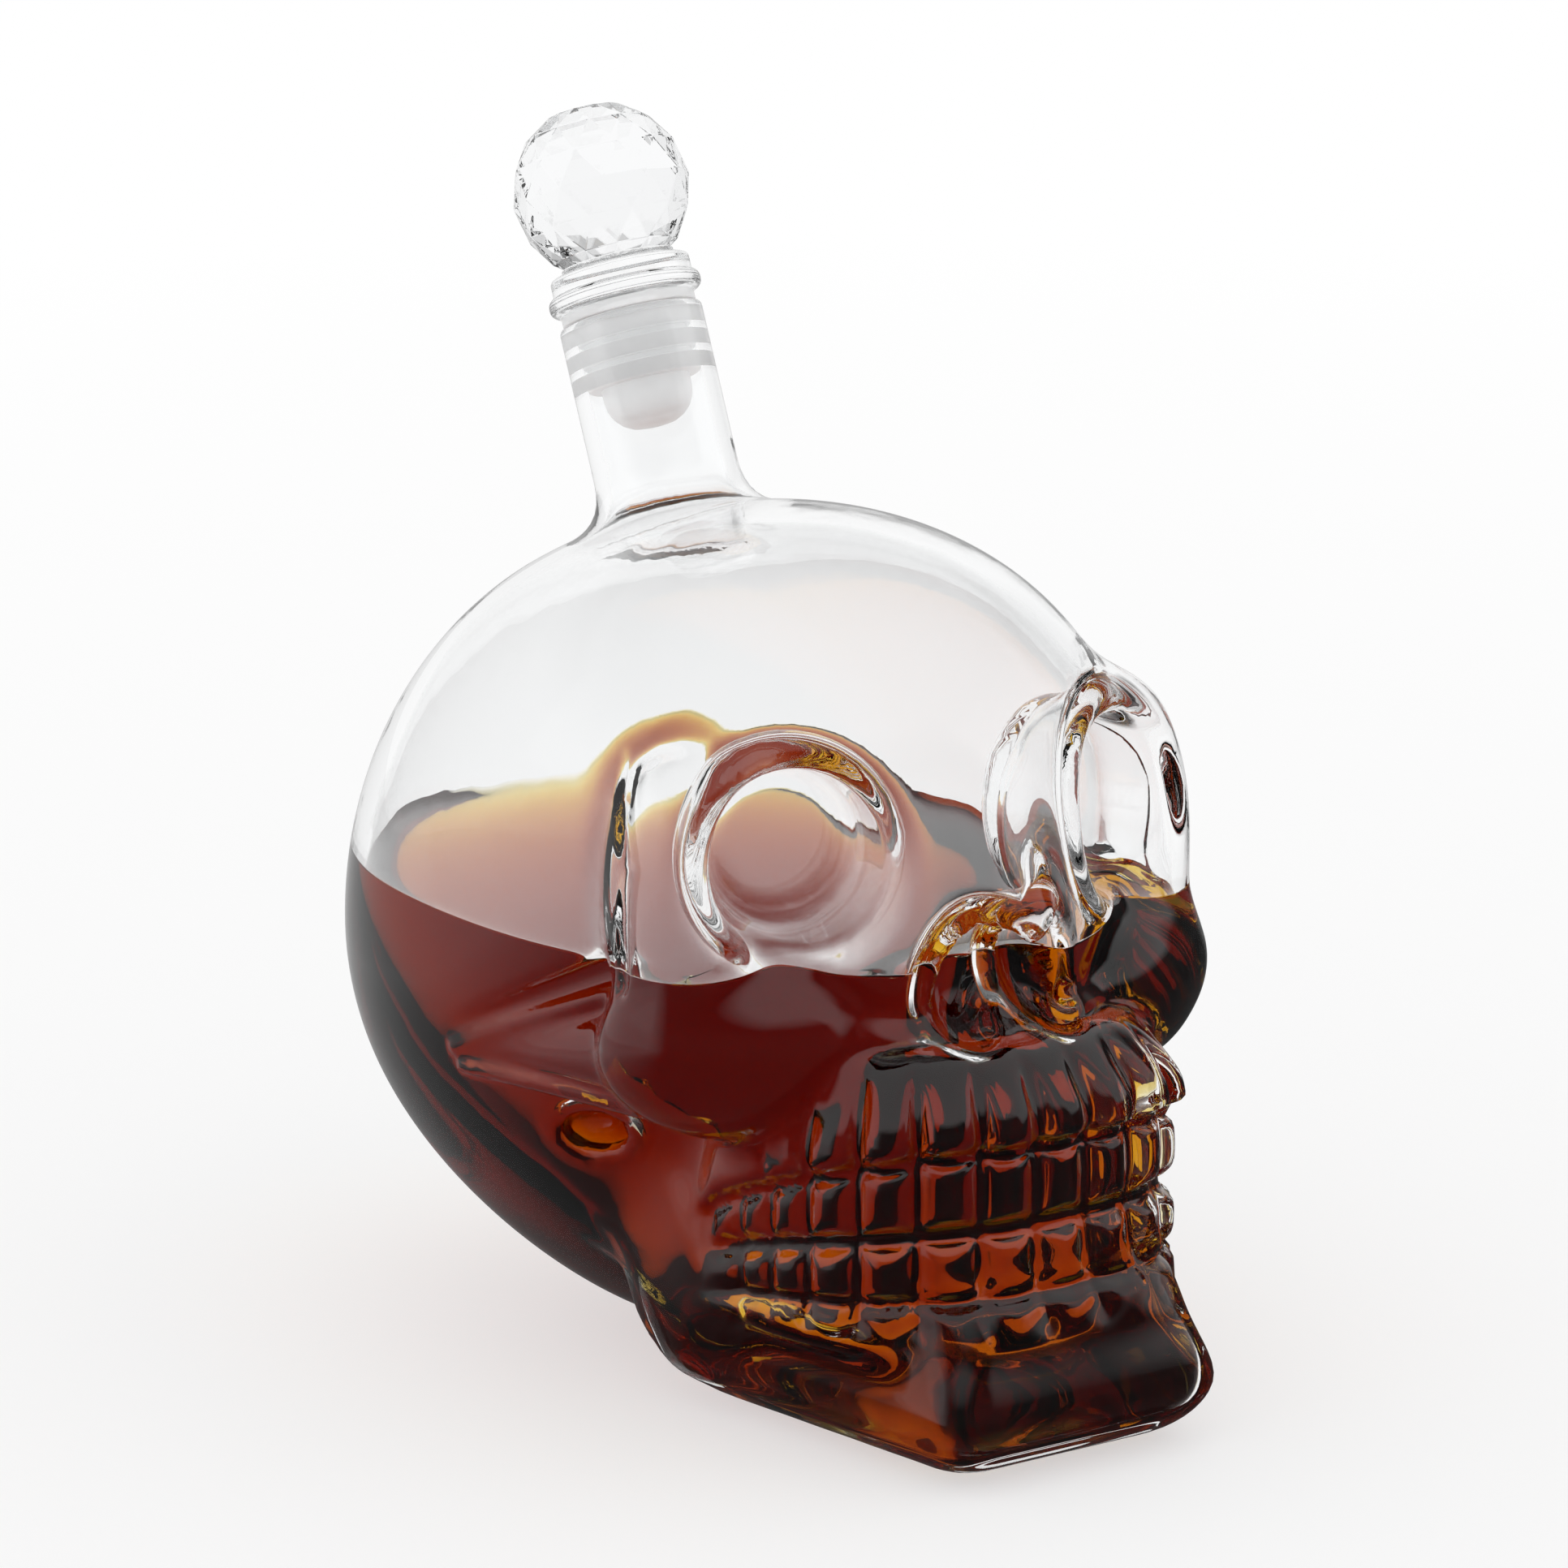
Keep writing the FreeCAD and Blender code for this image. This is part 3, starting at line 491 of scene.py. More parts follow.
@dataclass(frozen=True)
class Teeth:
    """Upper jaw and both rows of teeth, on an arch that is squarer than an ellipse.

    Angles are in degrees round the arch from its front. The lines along the teeth dip towards its back.
    """

    half_width: float = 38.0
    front: float = -81.5
    middle: float = -38.0
    back: float = -8.0
    squareness: float = 2.7
    edge: float = 4.0
    bite: float = 39.7
    upper: float = 12.8
    lower: float = 10.8
    gum: float = 17.5
    lower_gum: float = 6.0
    dip_start: float = 25.0
    dip_reach: float = 65.0
    dip_limit: float = 1.2
    dip_power: float = 1.5
    bite_dip: float = 9.0
    gum_dip: float = 14.5
    low_dip: float = 5.0
    top_dip: float = 6.0
    draw_in: float = 13.0
    draw_in_end: float = 2.0
    draw_in_fullness: float = 0.98
    gaps: tuple[float, ...] = (-6.6, 6.6, 19.9, 33.4, 46.0, 58.3, 69.4, 80.5, 92.0)
    gap_depth: float = 3.2
    gap_top: Pair = (-3.0, -10.0)
    gap_foot: Pair = (-1.0, 3.0)
    line_depth: float = 2.4
    line_width: float = 1.4
    bite_width: float = 1.9
    gum_strength: float = 0.8
    low_strength: float = 0.7
    low_bow: float = 1.2
    root_depth: float = 1.35
    root_power: int = 3
    root_rise: Pair = (-1.0, 2.0)
    root_fade: Pair = (56.0, 74.0)
    root_swell: float = 1.6
    swell_bow: float = 2.0
    swell_rise: float = 2.5
    swell_inset: float = 5.0
    pillow_depth: float = 1.2
    pillow_fullness: float = 0.9
    crown_edge: float = 1.5
    fade: Pair = (86.0, 98.0)
    relief: float = 1.0

    def distance(self, points: Points) -> Values:
        """Signed distances of points, below zero inside."""
        x, y, z = np.abs(points[..., 0]), points[..., 1], points[..., 2]
        angle = np.degrees(np.arctan2(x, self.middle - y))
        dip = np.clip((angle - self.dip_start) / self.dip_reach, 0.0, self.dip_limit) ** self.dip_power
        gum_line = self.bite + self.upper - self.gum_dip * dip
        top = self.bite + self.upper + self.gum - self.top_dip * dip
        bottom = self.bite - self.lower - self.lower_gum
        risen = np.clip((z - gum_line) / (top - self.draw_in_end - gum_line), 0.0, 1.0)
        pull = self.draw_in * bowed(risen, self.draw_in_fullness)
        half = self.half_width - pull
        reach = np.where(y < self.middle, self.middle - self.front - pull, self.back - self.middle)
        power = self.squareness
        rounded = ((x / half) ** power + (np.abs(y - self.middle) / reach) ** power) ** (1 / power)
        ends = np.maximum(z - top, bottom - self.edge - z)
        return trimmed((rounded - 1) * half + self.carving(z, angle, dip), ends, self.edge)

    def carving(self, z: Values, angle: Values, dip: Values) -> Values:
        """Depth of the gaps and lines between the teeth, less the swelling of their roots.

        Args:
            z: Heights of points.
            angle: Their angles round the arch.
            dip: How far the lines have dipped there, from 0 at the front.

        Returns:
            Depths, above zero where something is taken away.
        """
        bite_line = self.bite - self.bite_dip * dip
        gum_line = self.bite + self.upper - self.gum_dip * dip
        low_line = self.bite - self.lower - self.low_dip * dip
        top = self.bite + self.upper + self.gum - self.top_dip * dip
        bottom = self.bite - self.lower - self.lower_gum
        away = np.ones_like(angle)
        for first, last in zip(self.gaps[:-1], self.gaps[1:]):
            share = np.clip((angle - first) / (last - first), 0.0, 1.0)
            away = np.minimum(away, np.abs(2 * share - 1))
        ridge = bowed(away, power=self.root_power) * (1 - eased(angle, *self.root_fade))
        rooted = eased(z - gum_line, *self.root_rise)
        gap = bowed(away) * (1 - rooted) + self.root_depth * ridge * rooted
        length = eased(z - top, *self.gap_top) * eased(z - bottom, *self.gap_foot)
        foot = gum_line + self.swell_bow * ridge
        swell = (1 - ridge) * eased(z, foot, foot + self.swell_rise)
        swell *= eased(z, top - self.swell_inset, gum_line + self.swell_inset)
        tall = np.where(z > bite_line, gum_line - bite_line, bite_line - low_line)
        upright = np.clip(2 * np.abs(z - bite_line) / tall - 1, -1.0, 1.0)
        crown = eased(z, low_line - self.crown_edge, low_line)
        crown *= 1 - eased(z, gum_line, gum_line + self.crown_edge)
        pillow = crown * bowed(upright, self.pillow_fullness)
        lines = np.exp(-(((z - bite_line) / self.bite_width) ** 2))
        lines += self.gum_strength * np.exp(-(((z - gum_line + gap) / self.line_width) ** 2))
        lines += self.low_strength * np.exp(-(((z - low_line - self.low_bow * gap) / self.line_width) ** 2))
        cut = np.maximum(self.gap_depth * gap * length, self.line_depth * lines)
        cut += self.pillow_depth * pillow - self.root_swell * swell
        return cut * (1 - eased(angle, *self.fade)) * self.relief

    def block(self) -> Piece:
        """A drum drawn out to the arch."""
        height = self.upper + self.lower + self.gum + self.lower_gum
        bpy.ops.mesh.primitive_cylinder_add(vertices=BALL_CORNERS, radius=1.0, depth=height)
        bottom = self.bite - self.lower - self.lower_gum
        centre = (0, (self.back + self.front) / 2, bottom + height / 2)
        return placed(centre, size=(self.half_width, (self.back - self.front) / 2, 1))


@dataclass(frozen=True)
class Jaw:
    """Lower jaw: a square chin whose sides spread to the corners, round along its lower edge."""

    half_width: float = 27.0
    front: float = -89.5
    height: float = 29.0
    top_tuck: float = 6.0
    edge: float = 6.0
    top_edge: float = 7.0
    back: float = -20.0
    back_half_width: float = 38.5
    back_slope: float = 0.9
    front_round: float = 13.0
    back_round: float = 16.0
    round_fullness: float = 0.98
    spread_limit: float = 1.2
    tuck_start: float = 8.0
    back_foot: float = 6.0

    def distance(self, points: Points) -> Values:
        """Signed distances of points, below zero inside."""
        x, y, z = np.abs(points[..., 0]), points[..., 1], points[..., 2]
        share = np.clip((y - self.front) / (self.back - self.front), 0.0, self.spread_limit)
        spread = self.half_width + (self.back_half_width - self.half_width) * share
        rounding = self.front_round + (self.back_round - self.front_round) * share
        sunk = np.clip((rounding - z) / rounding, 0.0, 1.0)
        tuck = rounding * bowed(sunk, self.round_fullness)
        tuck = tuck + self.top_tuck * eased(z, self.tuck_start, self.height)
        side = x - spread + tuck
        front = self.front + tuck - y
        back = y - self.back - self.back_slope * (z - self.back_foot)
        walls = trimmed(trimmed(side, front, self.edge), back, self.edge)
        return trimmed(walls, z - self.height, self.top_edge)

    def block(self) -> Piece:
        """A box whose front is drawn in to the chin."""
        bpy.ops.mesh.primitive_cube_add(size=1.0)
        length = self.back - self.front
        centre = (0, self.front + length / 2, self.height / 2)
        box = placed(centre, size=(2 * self.back_half_width, length, self.height))
        pick(box, "VERT", lambda middles: middles[:, 1] < centre[1])
        share = self.half_width / self.back_half_width
        bpy.ops.transform.resize(value=(share, 1, 1), center_override=(0, self.front, 0))
        leave()
        return box


@dataclass(frozen=True)
class Post:
    """A round post about the neck's axis, up to a height over the crown."""

    radius: float
    top: float
    root: float = -30.0

    def distance(self, points: Points) -> Values:
        """Signed distances of points, below zero inside."""
        height, radius = along_neck(points)
        return np.maximum(radius - self.radius, np.maximum(height - self.top, self.root - height))

    def block(self) -> Piece:
        """A cylinder that leans as the neck does."""
        length = self.top - self.root
        bpy.ops.mesh.primitive_cylinder_add(vertices=POST_CORNERS, radius=self.radius, depth=length)
        return placed(np.array(CROWN) + neck_axis() * (self.top + self.root) / 2, LEANING)


Blended = tuple[Mass, float, Side]


@dataclass
class Head:
    """The skull's form: masses that run into each other, and hollows sunk into them.

    Only the outside of the glass has the whole relief, with its edges, creases and grooves.
    """

    relief: float = 1.0
    whole_relief: float = 1.0
    nape_tilt: float = 48.0
    nape_reach: float = 54.0
    nape_edge: float = 20.0
    taper: float = 0.26
    braincase: Lump = Lump((0, 18.5, 65.9), (117, 132, 137))
    masses: dict[str, Blended] = field(init=False)
    hollows: dict[str, Blended] = field(init=False)

    def __post_init__(self) -> None:
        """Names the masses and hollows, each with the breadth of its blend."""
        middle, both = Side.MIDDLE, Side.BOTH
        self.masses = {
            "forehead": (Lump((0, -14, 94), (104, 100, 94)), 20.0, middle),
            "brow": (Lump((23, -37.5, 108.5), (38, 22, 18), (0, 14, -20)), 10.0, both),
            "face": (Lump((0, -36, 80), (64, 50, 68)), 12.0, middle),
            "nose_bridge": (Bar((0, -50, 104), (0, -66, 85.5), 8.0, 7.5), 7.0, middle),
            "nose_sides": (Lump((0, -49, 75.5), (42, 34, 36)), 8.0, middle),
            "eye_post": (Bar((41, -34, 104), (45, -42, 68), 7.0, 9.0), 10.0, both),
            "eye_rim": (Lump((43.5, -38, 91), (19, 23, 40)), 8.0, both),
            "cheekbone": (Lump((37, -44, 65.5), (45, 28, 30), (0, 0, 33)), 5.0, both),
            "cheek_arch": (Bar((47, -32, 63), (53.2, 14, 55.5), 7.5, 2.6), 2.0, both),
            "teeth": (Teeth(relief=self.relief), 5.0, middle),
            "jaw": (Jaw(), 6.0, middle),
            "jaw_branch": (Plate((32.5, -15, 36), (13, 28, 64), 43.0), 3.5, both),
        }
        self.hollows = {
            "eye_socket": (Bowl((26.0, -38.5, 97.0), 24, 25, 24, 8, 4, (0, 0, 22)), 3.6, both),
            "nostril": (Lump((6.6, -67, 76.5), (12.5, 22, 21), (10, -20, 0)), 1.6, both),
            "nose_middle": (Lump((0, -73, 75.5), (12, 20, 15)), 2.0, middle),
            "arch_gap": (Lump((44, -14, 46), (10, 13, 7), (-12, 0, 0)), 2.5, both),
        }
        if self.relief == self.whole_relief:
            self.masses |= {
                "upper_edge": (Bar((47.5, -31.5, 75.5), (57.0, 8.5, 56.3), 2.2, 0.9), 1.0, both),
                "lower_edge": (Bar((50.0, -35.0, 56.4), (56.5, 7.0, 53.4), 2.4, 0.9), 1.0, both),
            }
            self.hollows |= {
                "upper_crease": (Bar((48.5, -28.2, 112), (54.9, -37.8, 96), 0.8, 1.2), 1.0, both),
                "lower_crease": (Bar((54.9, -37.8, 96), (55.2, -36.0, 77), 1.2, 2.1), 1.0, both),
                "upper_groove": (Bar((51.1, -26.8, 76.2), (59.3, 9.3, 59.4), 3.0, 1.3), 1.0, both),
                "lower_groove": (Bar((59.2, 8.0, 50.0), (54.5, -26, 50.5), 1.4, 3.4), 1.2, both),
            }

    def distance(self, points: Points) -> Values:
        """Signed distances of points to the head, before the floor cuts it flat."""
        half = one_half(points)
        tilt = math.radians(self.nape_tilt)
        away = half - np.array(self.braincase.centre)
        nape = away[..., 1] * math.cos(tilt) - away[..., 2] * math.sin(tilt) - self.nape_reach
        sunk = np.maximum(-2 * away[..., 2] / self.braincase.size[2], 0.0)
        tapered = half.copy()
        tapered[..., 0] *= 1 + self.taper * sunk * sunk
        value = trimmed(self.braincase.distance(tapered), nape, self.nape_edge)
        for mass, blend, _ in self.masses.values():
            value = joined(value, mass.distance(half), blend)
        for hollow, edge, _ in self.hollows.values():
            value = trimmed(value, -hollow.distance(half), edge)
        return value

    def blocks(self, parts: dict[str, Blended], extra: list[Mass]) -> Piece:
        """The blocks of some masses, on both sides where they belong there, as one mesh.

        Args:
            parts: Masses or hollows of the head.
            extra: Masses that stand in the middle besides.

        Returns:
            The joined blocks, in millimetres.
        """
        sides = {Side.MIDDLE: [], Side.BOTH: []}
        for name, (mass, _, side) in parts.items():
            block = mass.block()
            block.name = name
            sides[side].append(block)
        pair = modified(
            fused(sides[Side.BOTH]), "MIRROR", use_axis=(True, False, False), use_mirror_merge=False
        )
        return fused([pair] + sides[Side.MIDDLE] + [mass.block() for mass in extra])


# Sculpting

def carved(body: Piece, cutter: Piece, grain: float) -> Piece:
    """Cuts one shape out of another and evens the mesh again.

    Args:
        body: What is carved.
        cutter: What is cut out, which is used up.
        grain: Size of the mesh's faces.

    Returns:
        The body.
    """
    modified(cutter, "REMESH", mode="VOXEL", voxel_size=grain)
    modified(body, "BOOLEAN", operation="DIFFERENCE", object=cutter, solver="EXACT")
    bpy.data.objects.remove(cutter)
    return modified(body, "REMESH", mode="VOXEL", voxel_size=grain)


@dataclass
class Sculpture:
    """A mesh that is blocked out roughly and then settled on a field."""

    name: str
    head: Head
    form: Callable[[Points], Values]
    extra: list[Mass]
    grain: float
    first_rounds: int = 14
    later_rounds: int = 6
    still_rounds: int = 2
    probe: float = 0.05
    least_steepness: float = 0.05
    longest_move: float = 3.0
    evening: float = 0.5

    def build(self) -> Piece:
        """Blocks out the masses, carves the hollows, settles the mesh on its form and refines it.

        Returns:
            The piece, in millimetres of the drawing.
        """
        body = self.head.blocks(self.head.masses, [self.head.braincase] + self.extra)
        body.name = self.name
        modified(body, "REMESH", mode="VOXEL", voxel_size=self.grain)
        carved(body, self.head.blocks(self.head.hollows, []), self.grain)
        self.settle(body, self.first_rounds)
        pick(body, "FACE", in_fine_zone)
        bpy.ops.mesh.subdivide(number_cuts=1)
        leave()
        self.settle(body, self.later_rounds)
        return body

    def slopes(self, points: Points) -> tuple[Values, np.ndarray]:
        """Field and its slope at points, from four places round each."""
        corners = np.array([[1, -1, -1], [-1, -1, 1], [-1, 1, -1], [1, 1, 1]], dtype=float)
        value = np.zeros(len(points))
        slope = np.zeros_like(points)
        for corner in corners:
            there = self.form(points + corner * self.probe)
            value += there / len(corners)
            slope += corner * there[:, None] / (len(corners) * self.probe)
        return value, slope

    def settle(self, piece: Piece, rounds: int) -> None:
        """Moves a mesh on to the field, and evens its corners out along the surface until the last rounds.

        Args:
            piece: The piece, in millimetres.
            rounds: How often it is moved.
        """
        points = mesh_points(piece)
        pairs = mesh_edges(piece)
        count = len(points)
        degree = np.maximum(np.bincount(pairs.ravel(), minlength=count), 1)
        for turn in range(rounds):
            value, slope = self.slopes(points)
            steep = np.maximum((slope * slope).sum(axis=1), self.least_steepness)
            move = np.clip(value / steep, -self.longest_move, self.longest_move)
            points -= slope * move[:, None]
            if turn < rounds - self.still_rounds:
                total = np.empty_like(points)
                for axis in range(3):
                    here = points[:, axis]
                    total[:, axis] = np.bincount(pairs[:, 0], here[pairs[:, 1]], count)
                    total[:, axis] += np.bincount(pairs[:, 1], here[pairs[:, 0]], count)
                drift = total / degree[:, None] - points
                normal = slope / np.sqrt(steep)[:, None]
                drift -= normal * (drift * normal).sum(axis=1)[:, None]
                points += self.evening * drift
        set_points(piece, points)


def in_fine_zone(middles: np.ndarray) -> np.ndarray:
    """Which points, in millimetres of the drawing, lie where the mesh has to be fine."""
    half = one_half(middles)
    inside = [((half > least) & (half < most)).all(axis=1) for least, most in FINE_ZONES]
    return np.any(inside, axis=0)


# Shader sums

class Wire:
    """A shader value that takes part in sums."""

    def __init__(self, graph: "Graph", socket: bpy.types.NodeSocket) -> None:
        """Keeps the graph and the socket."""
        self.graph = graph
        self.socket = socket

    def __add__(self, other: "Wire | float") -> "Wire":
        """This plus another."""
        return self.graph.sum("ADD", self, other)

    def __sub__(self, other: "Wire | float") -> "Wire":
        """This less another."""
        return self.graph.sum("SUBTRACT", self, other)

    def __rsub__(self, other: float) -> "Wire":
        """A number less this."""
        return self.graph.sum("SUBTRACT", other, self)

    def __mul__(self, other: "Wire | float") -> "Wire":
        """This times another."""
        return self.graph.sum("MULTIPLY", self, other)

    def clipped(self) -> "Wire":
        """This, kept between 0 and 1."""
        return self.graph.sum("ADD", self, 0.0, use_clamp=True)


class Graph:
    """The nodes of one material or of the world."""

    def __init__(self, tree: bpy.types.NodeTree) -> None:
        """Starts with no nodes."""
        self.tree = tree
        tree.nodes.clear()

    def add(self, kind: str, inputs: dict[str | int, Any] | None = None, **settings: Any) -> bpy.types.Node:
        """Adds one node.

        Args:
            kind: Type of the node.
            inputs: Values or wires of its sockets, by name or place.
            settings: The node's own settings, which are set first.

        Returns:
            The node.
        """
        node = self.tree.nodes.new(kind)
        for name, value in settings.items():
            if name == "stops":
                self.set_stops(node, value)
            else:
                setattr(node, name, value)
        for name, value in (inputs or {}).items():
            socket = node.inputs[name]
            if isinstance(value, Wire):
                self.tree.links.new(value.socket, socket)
            elif isinstance(value, bpy.types.NodeSocket):
                self.tree.links.new(value, socket)
            else:
                socket.default_value = value
        return node

    def set_stops(self, node: bpy.types.Node, stops: list[tuple[float, tuple[float, ...]]]) -> None:
        """Sets the stops of a colour ramp."""
        elements = node.color_ramp.elements
        while len(elements) < len(stops):
            elements.new(1.0)
        for element, (place, colour) in zip(elements, stops):
            element.position = place
            element.color = colour

    def sum(
        self, operation: str, first: Wire | float, second: Wire | float, use_clamp: bool = False
    ) -> Wire:
        """A Math node on two values."""
        node = self.add("ShaderNodeMath", {0: first, 1: second}, operation=operation, use_clamp=use_clamp)
        return self.wire(node, 0)

    def wire(self, node: bpy.types.Node, output: str | int) -> Wire:
        """One output of a node as a value."""
        return Wire(self, node.outputs[output])

    def noise(self, scale: float, detail: float) -> Wire:
        """Cloudy noise over the piece, from 0 to 1."""
        place = self.add("ShaderNodeTexCoord").outputs["Object"]
        inputs = {"Vector": place, "Scale": scale, "Detail": detail}
        return self.wire(self.add("ShaderNodeTexNoise", inputs), "Fac")

    def bump(self, height: Wire, strength: float, depth: float) -> Wire:
        """The way an uneven surface faces."""
        inputs = {"Height": height, "Strength": strength, "Distance": depth}
        return self.wire(self.add("ShaderNodeBump", inputs), "Normal")

    def carried(self, name: str) -> Wire:
        """A value that the faces of the mesh carry."""
        return self.wire(self.add("ShaderNodeAttribute", attribute_name=name), "Fac")

    def ray(self, kind: str) -> Wire:
        """One thing that is known of the ray that meets the surface."""
        return self.wire(self.add("ShaderNodeLightPath"), kind)

    def mirrored(self) -> Wire:
        """1 for rays off a mirroring face, 0 for rays through glass and for all others."""
        return (self.ray("Is Glossy Ray") - self.ray("Is Transmission Ray")).clipped()

    def place(self, output: str) -> tuple[Wire, ...]:
        """X, Y and Z of one output of the texture coordinates."""
        place = self.add("ShaderNodeTexCoord").outputs[output]
        parts = self.add("ShaderNodeSeparateXYZ", {0: place})
        return tuple(self.wire(parts, name) for name in "XYZ")

    def clear(self, tint: Colour, ior: float, **more: Wire) -> Wire:
        """A polished clear body that bends light."""
        inputs = {"Base Color": tint, "Roughness": 0.0, "IOR": ior, "Transmission Weight": 1.0, **more}
        return self.wire(self.add("ShaderNodeBsdfPrincipled", inputs), "BSDF")

    def shining(self, colour: Colour | Wire) -> Wire:
        """A surface that shines of itself."""
        return self.wire(self.add("ShaderNodeEmission", {"Color": colour, "Strength": 1.0}), "Emission")

    def mixed(self, share: Wire, first: Wire, second: Wire) -> Wire:
        """Two finishes, mixed by the share of the second."""
        return self.wire(self.add("ShaderNodeMixShader", {0: share, 1: first, 2: second}), "Shader")


def new_material(name: str) -> tuple[bpy.types.Material, Graph]:
    """An empty material and its graph."""
    material = bpy.data.materials.new(name)
    material.use_nodes = True
    return material, Graph(material.node_tree)


# Finishes

@dataclass(frozen=True)
class ClearGlass:
    """Polished clear glass with the faint long waves of blown or pressed glass."""

    name: str
    tint: Colour = (0.985, 0.99, 0.992, 1.0)
    ior: float = 1.5
    wave_scale: float = 70.0
    wave_detail: float = 1.5
    wave_depth: float = 0.0004
    wave_strength: float = 0.12

    def material(self) -> bpy.types.Material:
        """Makes the material, which leaves wetted faces to the liquor."""
        material, graph = new_material(self.name)
        waves = graph.noise(self.wave_scale, self.wave_detail)
        uneven = graph.bump(waves, self.wave_strength, self.wave_depth)
        glass = graph.clear(self.tint, self.ior, Normal=uneven)
        through = graph.wire(graph.add("ShaderNodeBsdfTransparent"), "BSDF")
        both = graph.mixed(graph.carried("wetted"), glass, through)
        graph.add("ShaderNodeOutputMaterial", {"Surface": both})
        return material


@dataclass(frozen=True)
class DarkLiquor:
    """Clear liquor that takes out blue first and red last, so that it goes from gold to red brown."""

    name: str
    let_through: Colour = (0.905, 0.742, 0.0, 1.0)
    density: float = 210.0
    ior: float = 1.36
    wall_ior: float = 0.907

    def material(self) -> bpy.types.Material:
        """Makes the material, whose wall bends light as liquor against glass does."""
        material, graph = new_material(self.name)
        wall = graph.clear(WHITE, self.wall_ior)
        level = graph.clear(WHITE, self.ior)
        body = graph.mixed(graph.carried("open_top"), wall, level)
        inputs = {"Color": self.let_through, "Density": self.density}
        depth = graph.wire(graph.add("ShaderNodeVolumeAbsorption", inputs), "Volume")
        graph.add("ShaderNodeOutputMaterial", {"Surface": body, "Volume": depth})
        return material


@dataclass(frozen=True)
class SoftSeal:
    """Milky translucent soft plastic, a little uneven in its tone and sheen."""

    name: str
    pale: Colour = (0.97, 0.972, 0.975, 1.0)
    dull: Colour = (0.92, 0.925, 0.93, 1.0)
    body: float = 0.6
    ior: float = 1.42
    cloud_scale: float = 260.0
    cloud_detail: float = 3.0
    cloud_range: Pair = (0.35, 0.65)
    least_roughness: float = 0.3
    more_roughness: float = 0.2
    grain_scale: float = 2400.0
    grain_detail: float = 2.0
    grain_strength: float = 0.08
    grain_depth: float = 0.0002

    def material(self) -> bpy.types.Material:
        """Makes the material."""
        material, graph = new_material(self.name)
        cloud = graph.noise(self.cloud_scale, self.cloud_detail)
        stops = list(zip(self.cloud_range, (self.dull, self.pale)))
        tone = graph.add("ShaderNodeValToRGB", {"Fac": cloud}, stops=stops)
        grain = graph.noise(self.grain_scale, self.grain_detail)
        body = graph.add(
            "ShaderNodeBsdfPrincipled",
            {
                "Base Color": tone.outputs["Color"],
                "Roughness": cloud * self.more_roughness + self.least_roughness,
                "IOR": self.ior,
                "Alpha": self.body,
                "Normal": graph.bump(grain, self.grain_strength, self.grain_depth),
            },
        )
        graph.add("ShaderNodeOutputMaterial", {"Surface": body.outputs["BSDF"]})
        return material


@dataclass(frozen=True)
class PaleFloor:
    """Plain white floor that runs into the white background; for mirrored rays it shines with a painted
    reflection, brighter on one side.
    """

    name: str
    turn: float
    colour: Colour = (0.9, 0.9, 0.9, 1.0)
    glow: float = 0.55
    glow_start: float = 0.2
    glow_reach: float = 0.8
    dim_level: float = 0.05
    lit_level: float = 0.6
    lit_start: float = 0.0
    lit_reach: float = 0.25

    def material(self) -> bpy.types.Material:
        """Makes the material."""
        material, graph = new_material(self.name)
        matt = graph.wire(graph.add("ShaderNodeBsdfDiffuse", {"Color": self.colour}), "BSDF")
        place = graph.add("ShaderNodeTexCoord").outputs["Object"]
        distance = graph.wire(graph.add("ShaderNodeVectorMath", {0: place}, operation="LENGTH"), "Value")
        far = ((distance - self.glow_start) * (1.0 / self.glow_reach)).clipped()
        glow = far * (1.0 - self.glow) + self.glow
        seen = (graph.ray("Is Camera Ray") * glow + graph.ray("Is Transmission Ray")).clipped()
        white = graph.mixed(seen, matt, graph.shining(WHITE))
        # Painted reflection: for mirrored rays the floor shines of itself, from dim_level in front to
        # lit_level on the side towards the turn, instead of being lit
        east, north, _ = graph.place("Object")
        angle = math.radians(self.turn)
        ahead = north * math.cos(angle) - east * math.sin(angle)
        share = ((ahead - self.lit_start) * (1.0 / self.lit_reach)).clipped()
        level = share * (self.lit_level - self.dim_level) + self.dim_level
        surface = graph.mixed(graph.mirrored(), white, graph.shining(level))
        graph.add("ShaderNodeOutputMaterial", {"Surface": surface})
        return material


# Pieces of the bottle

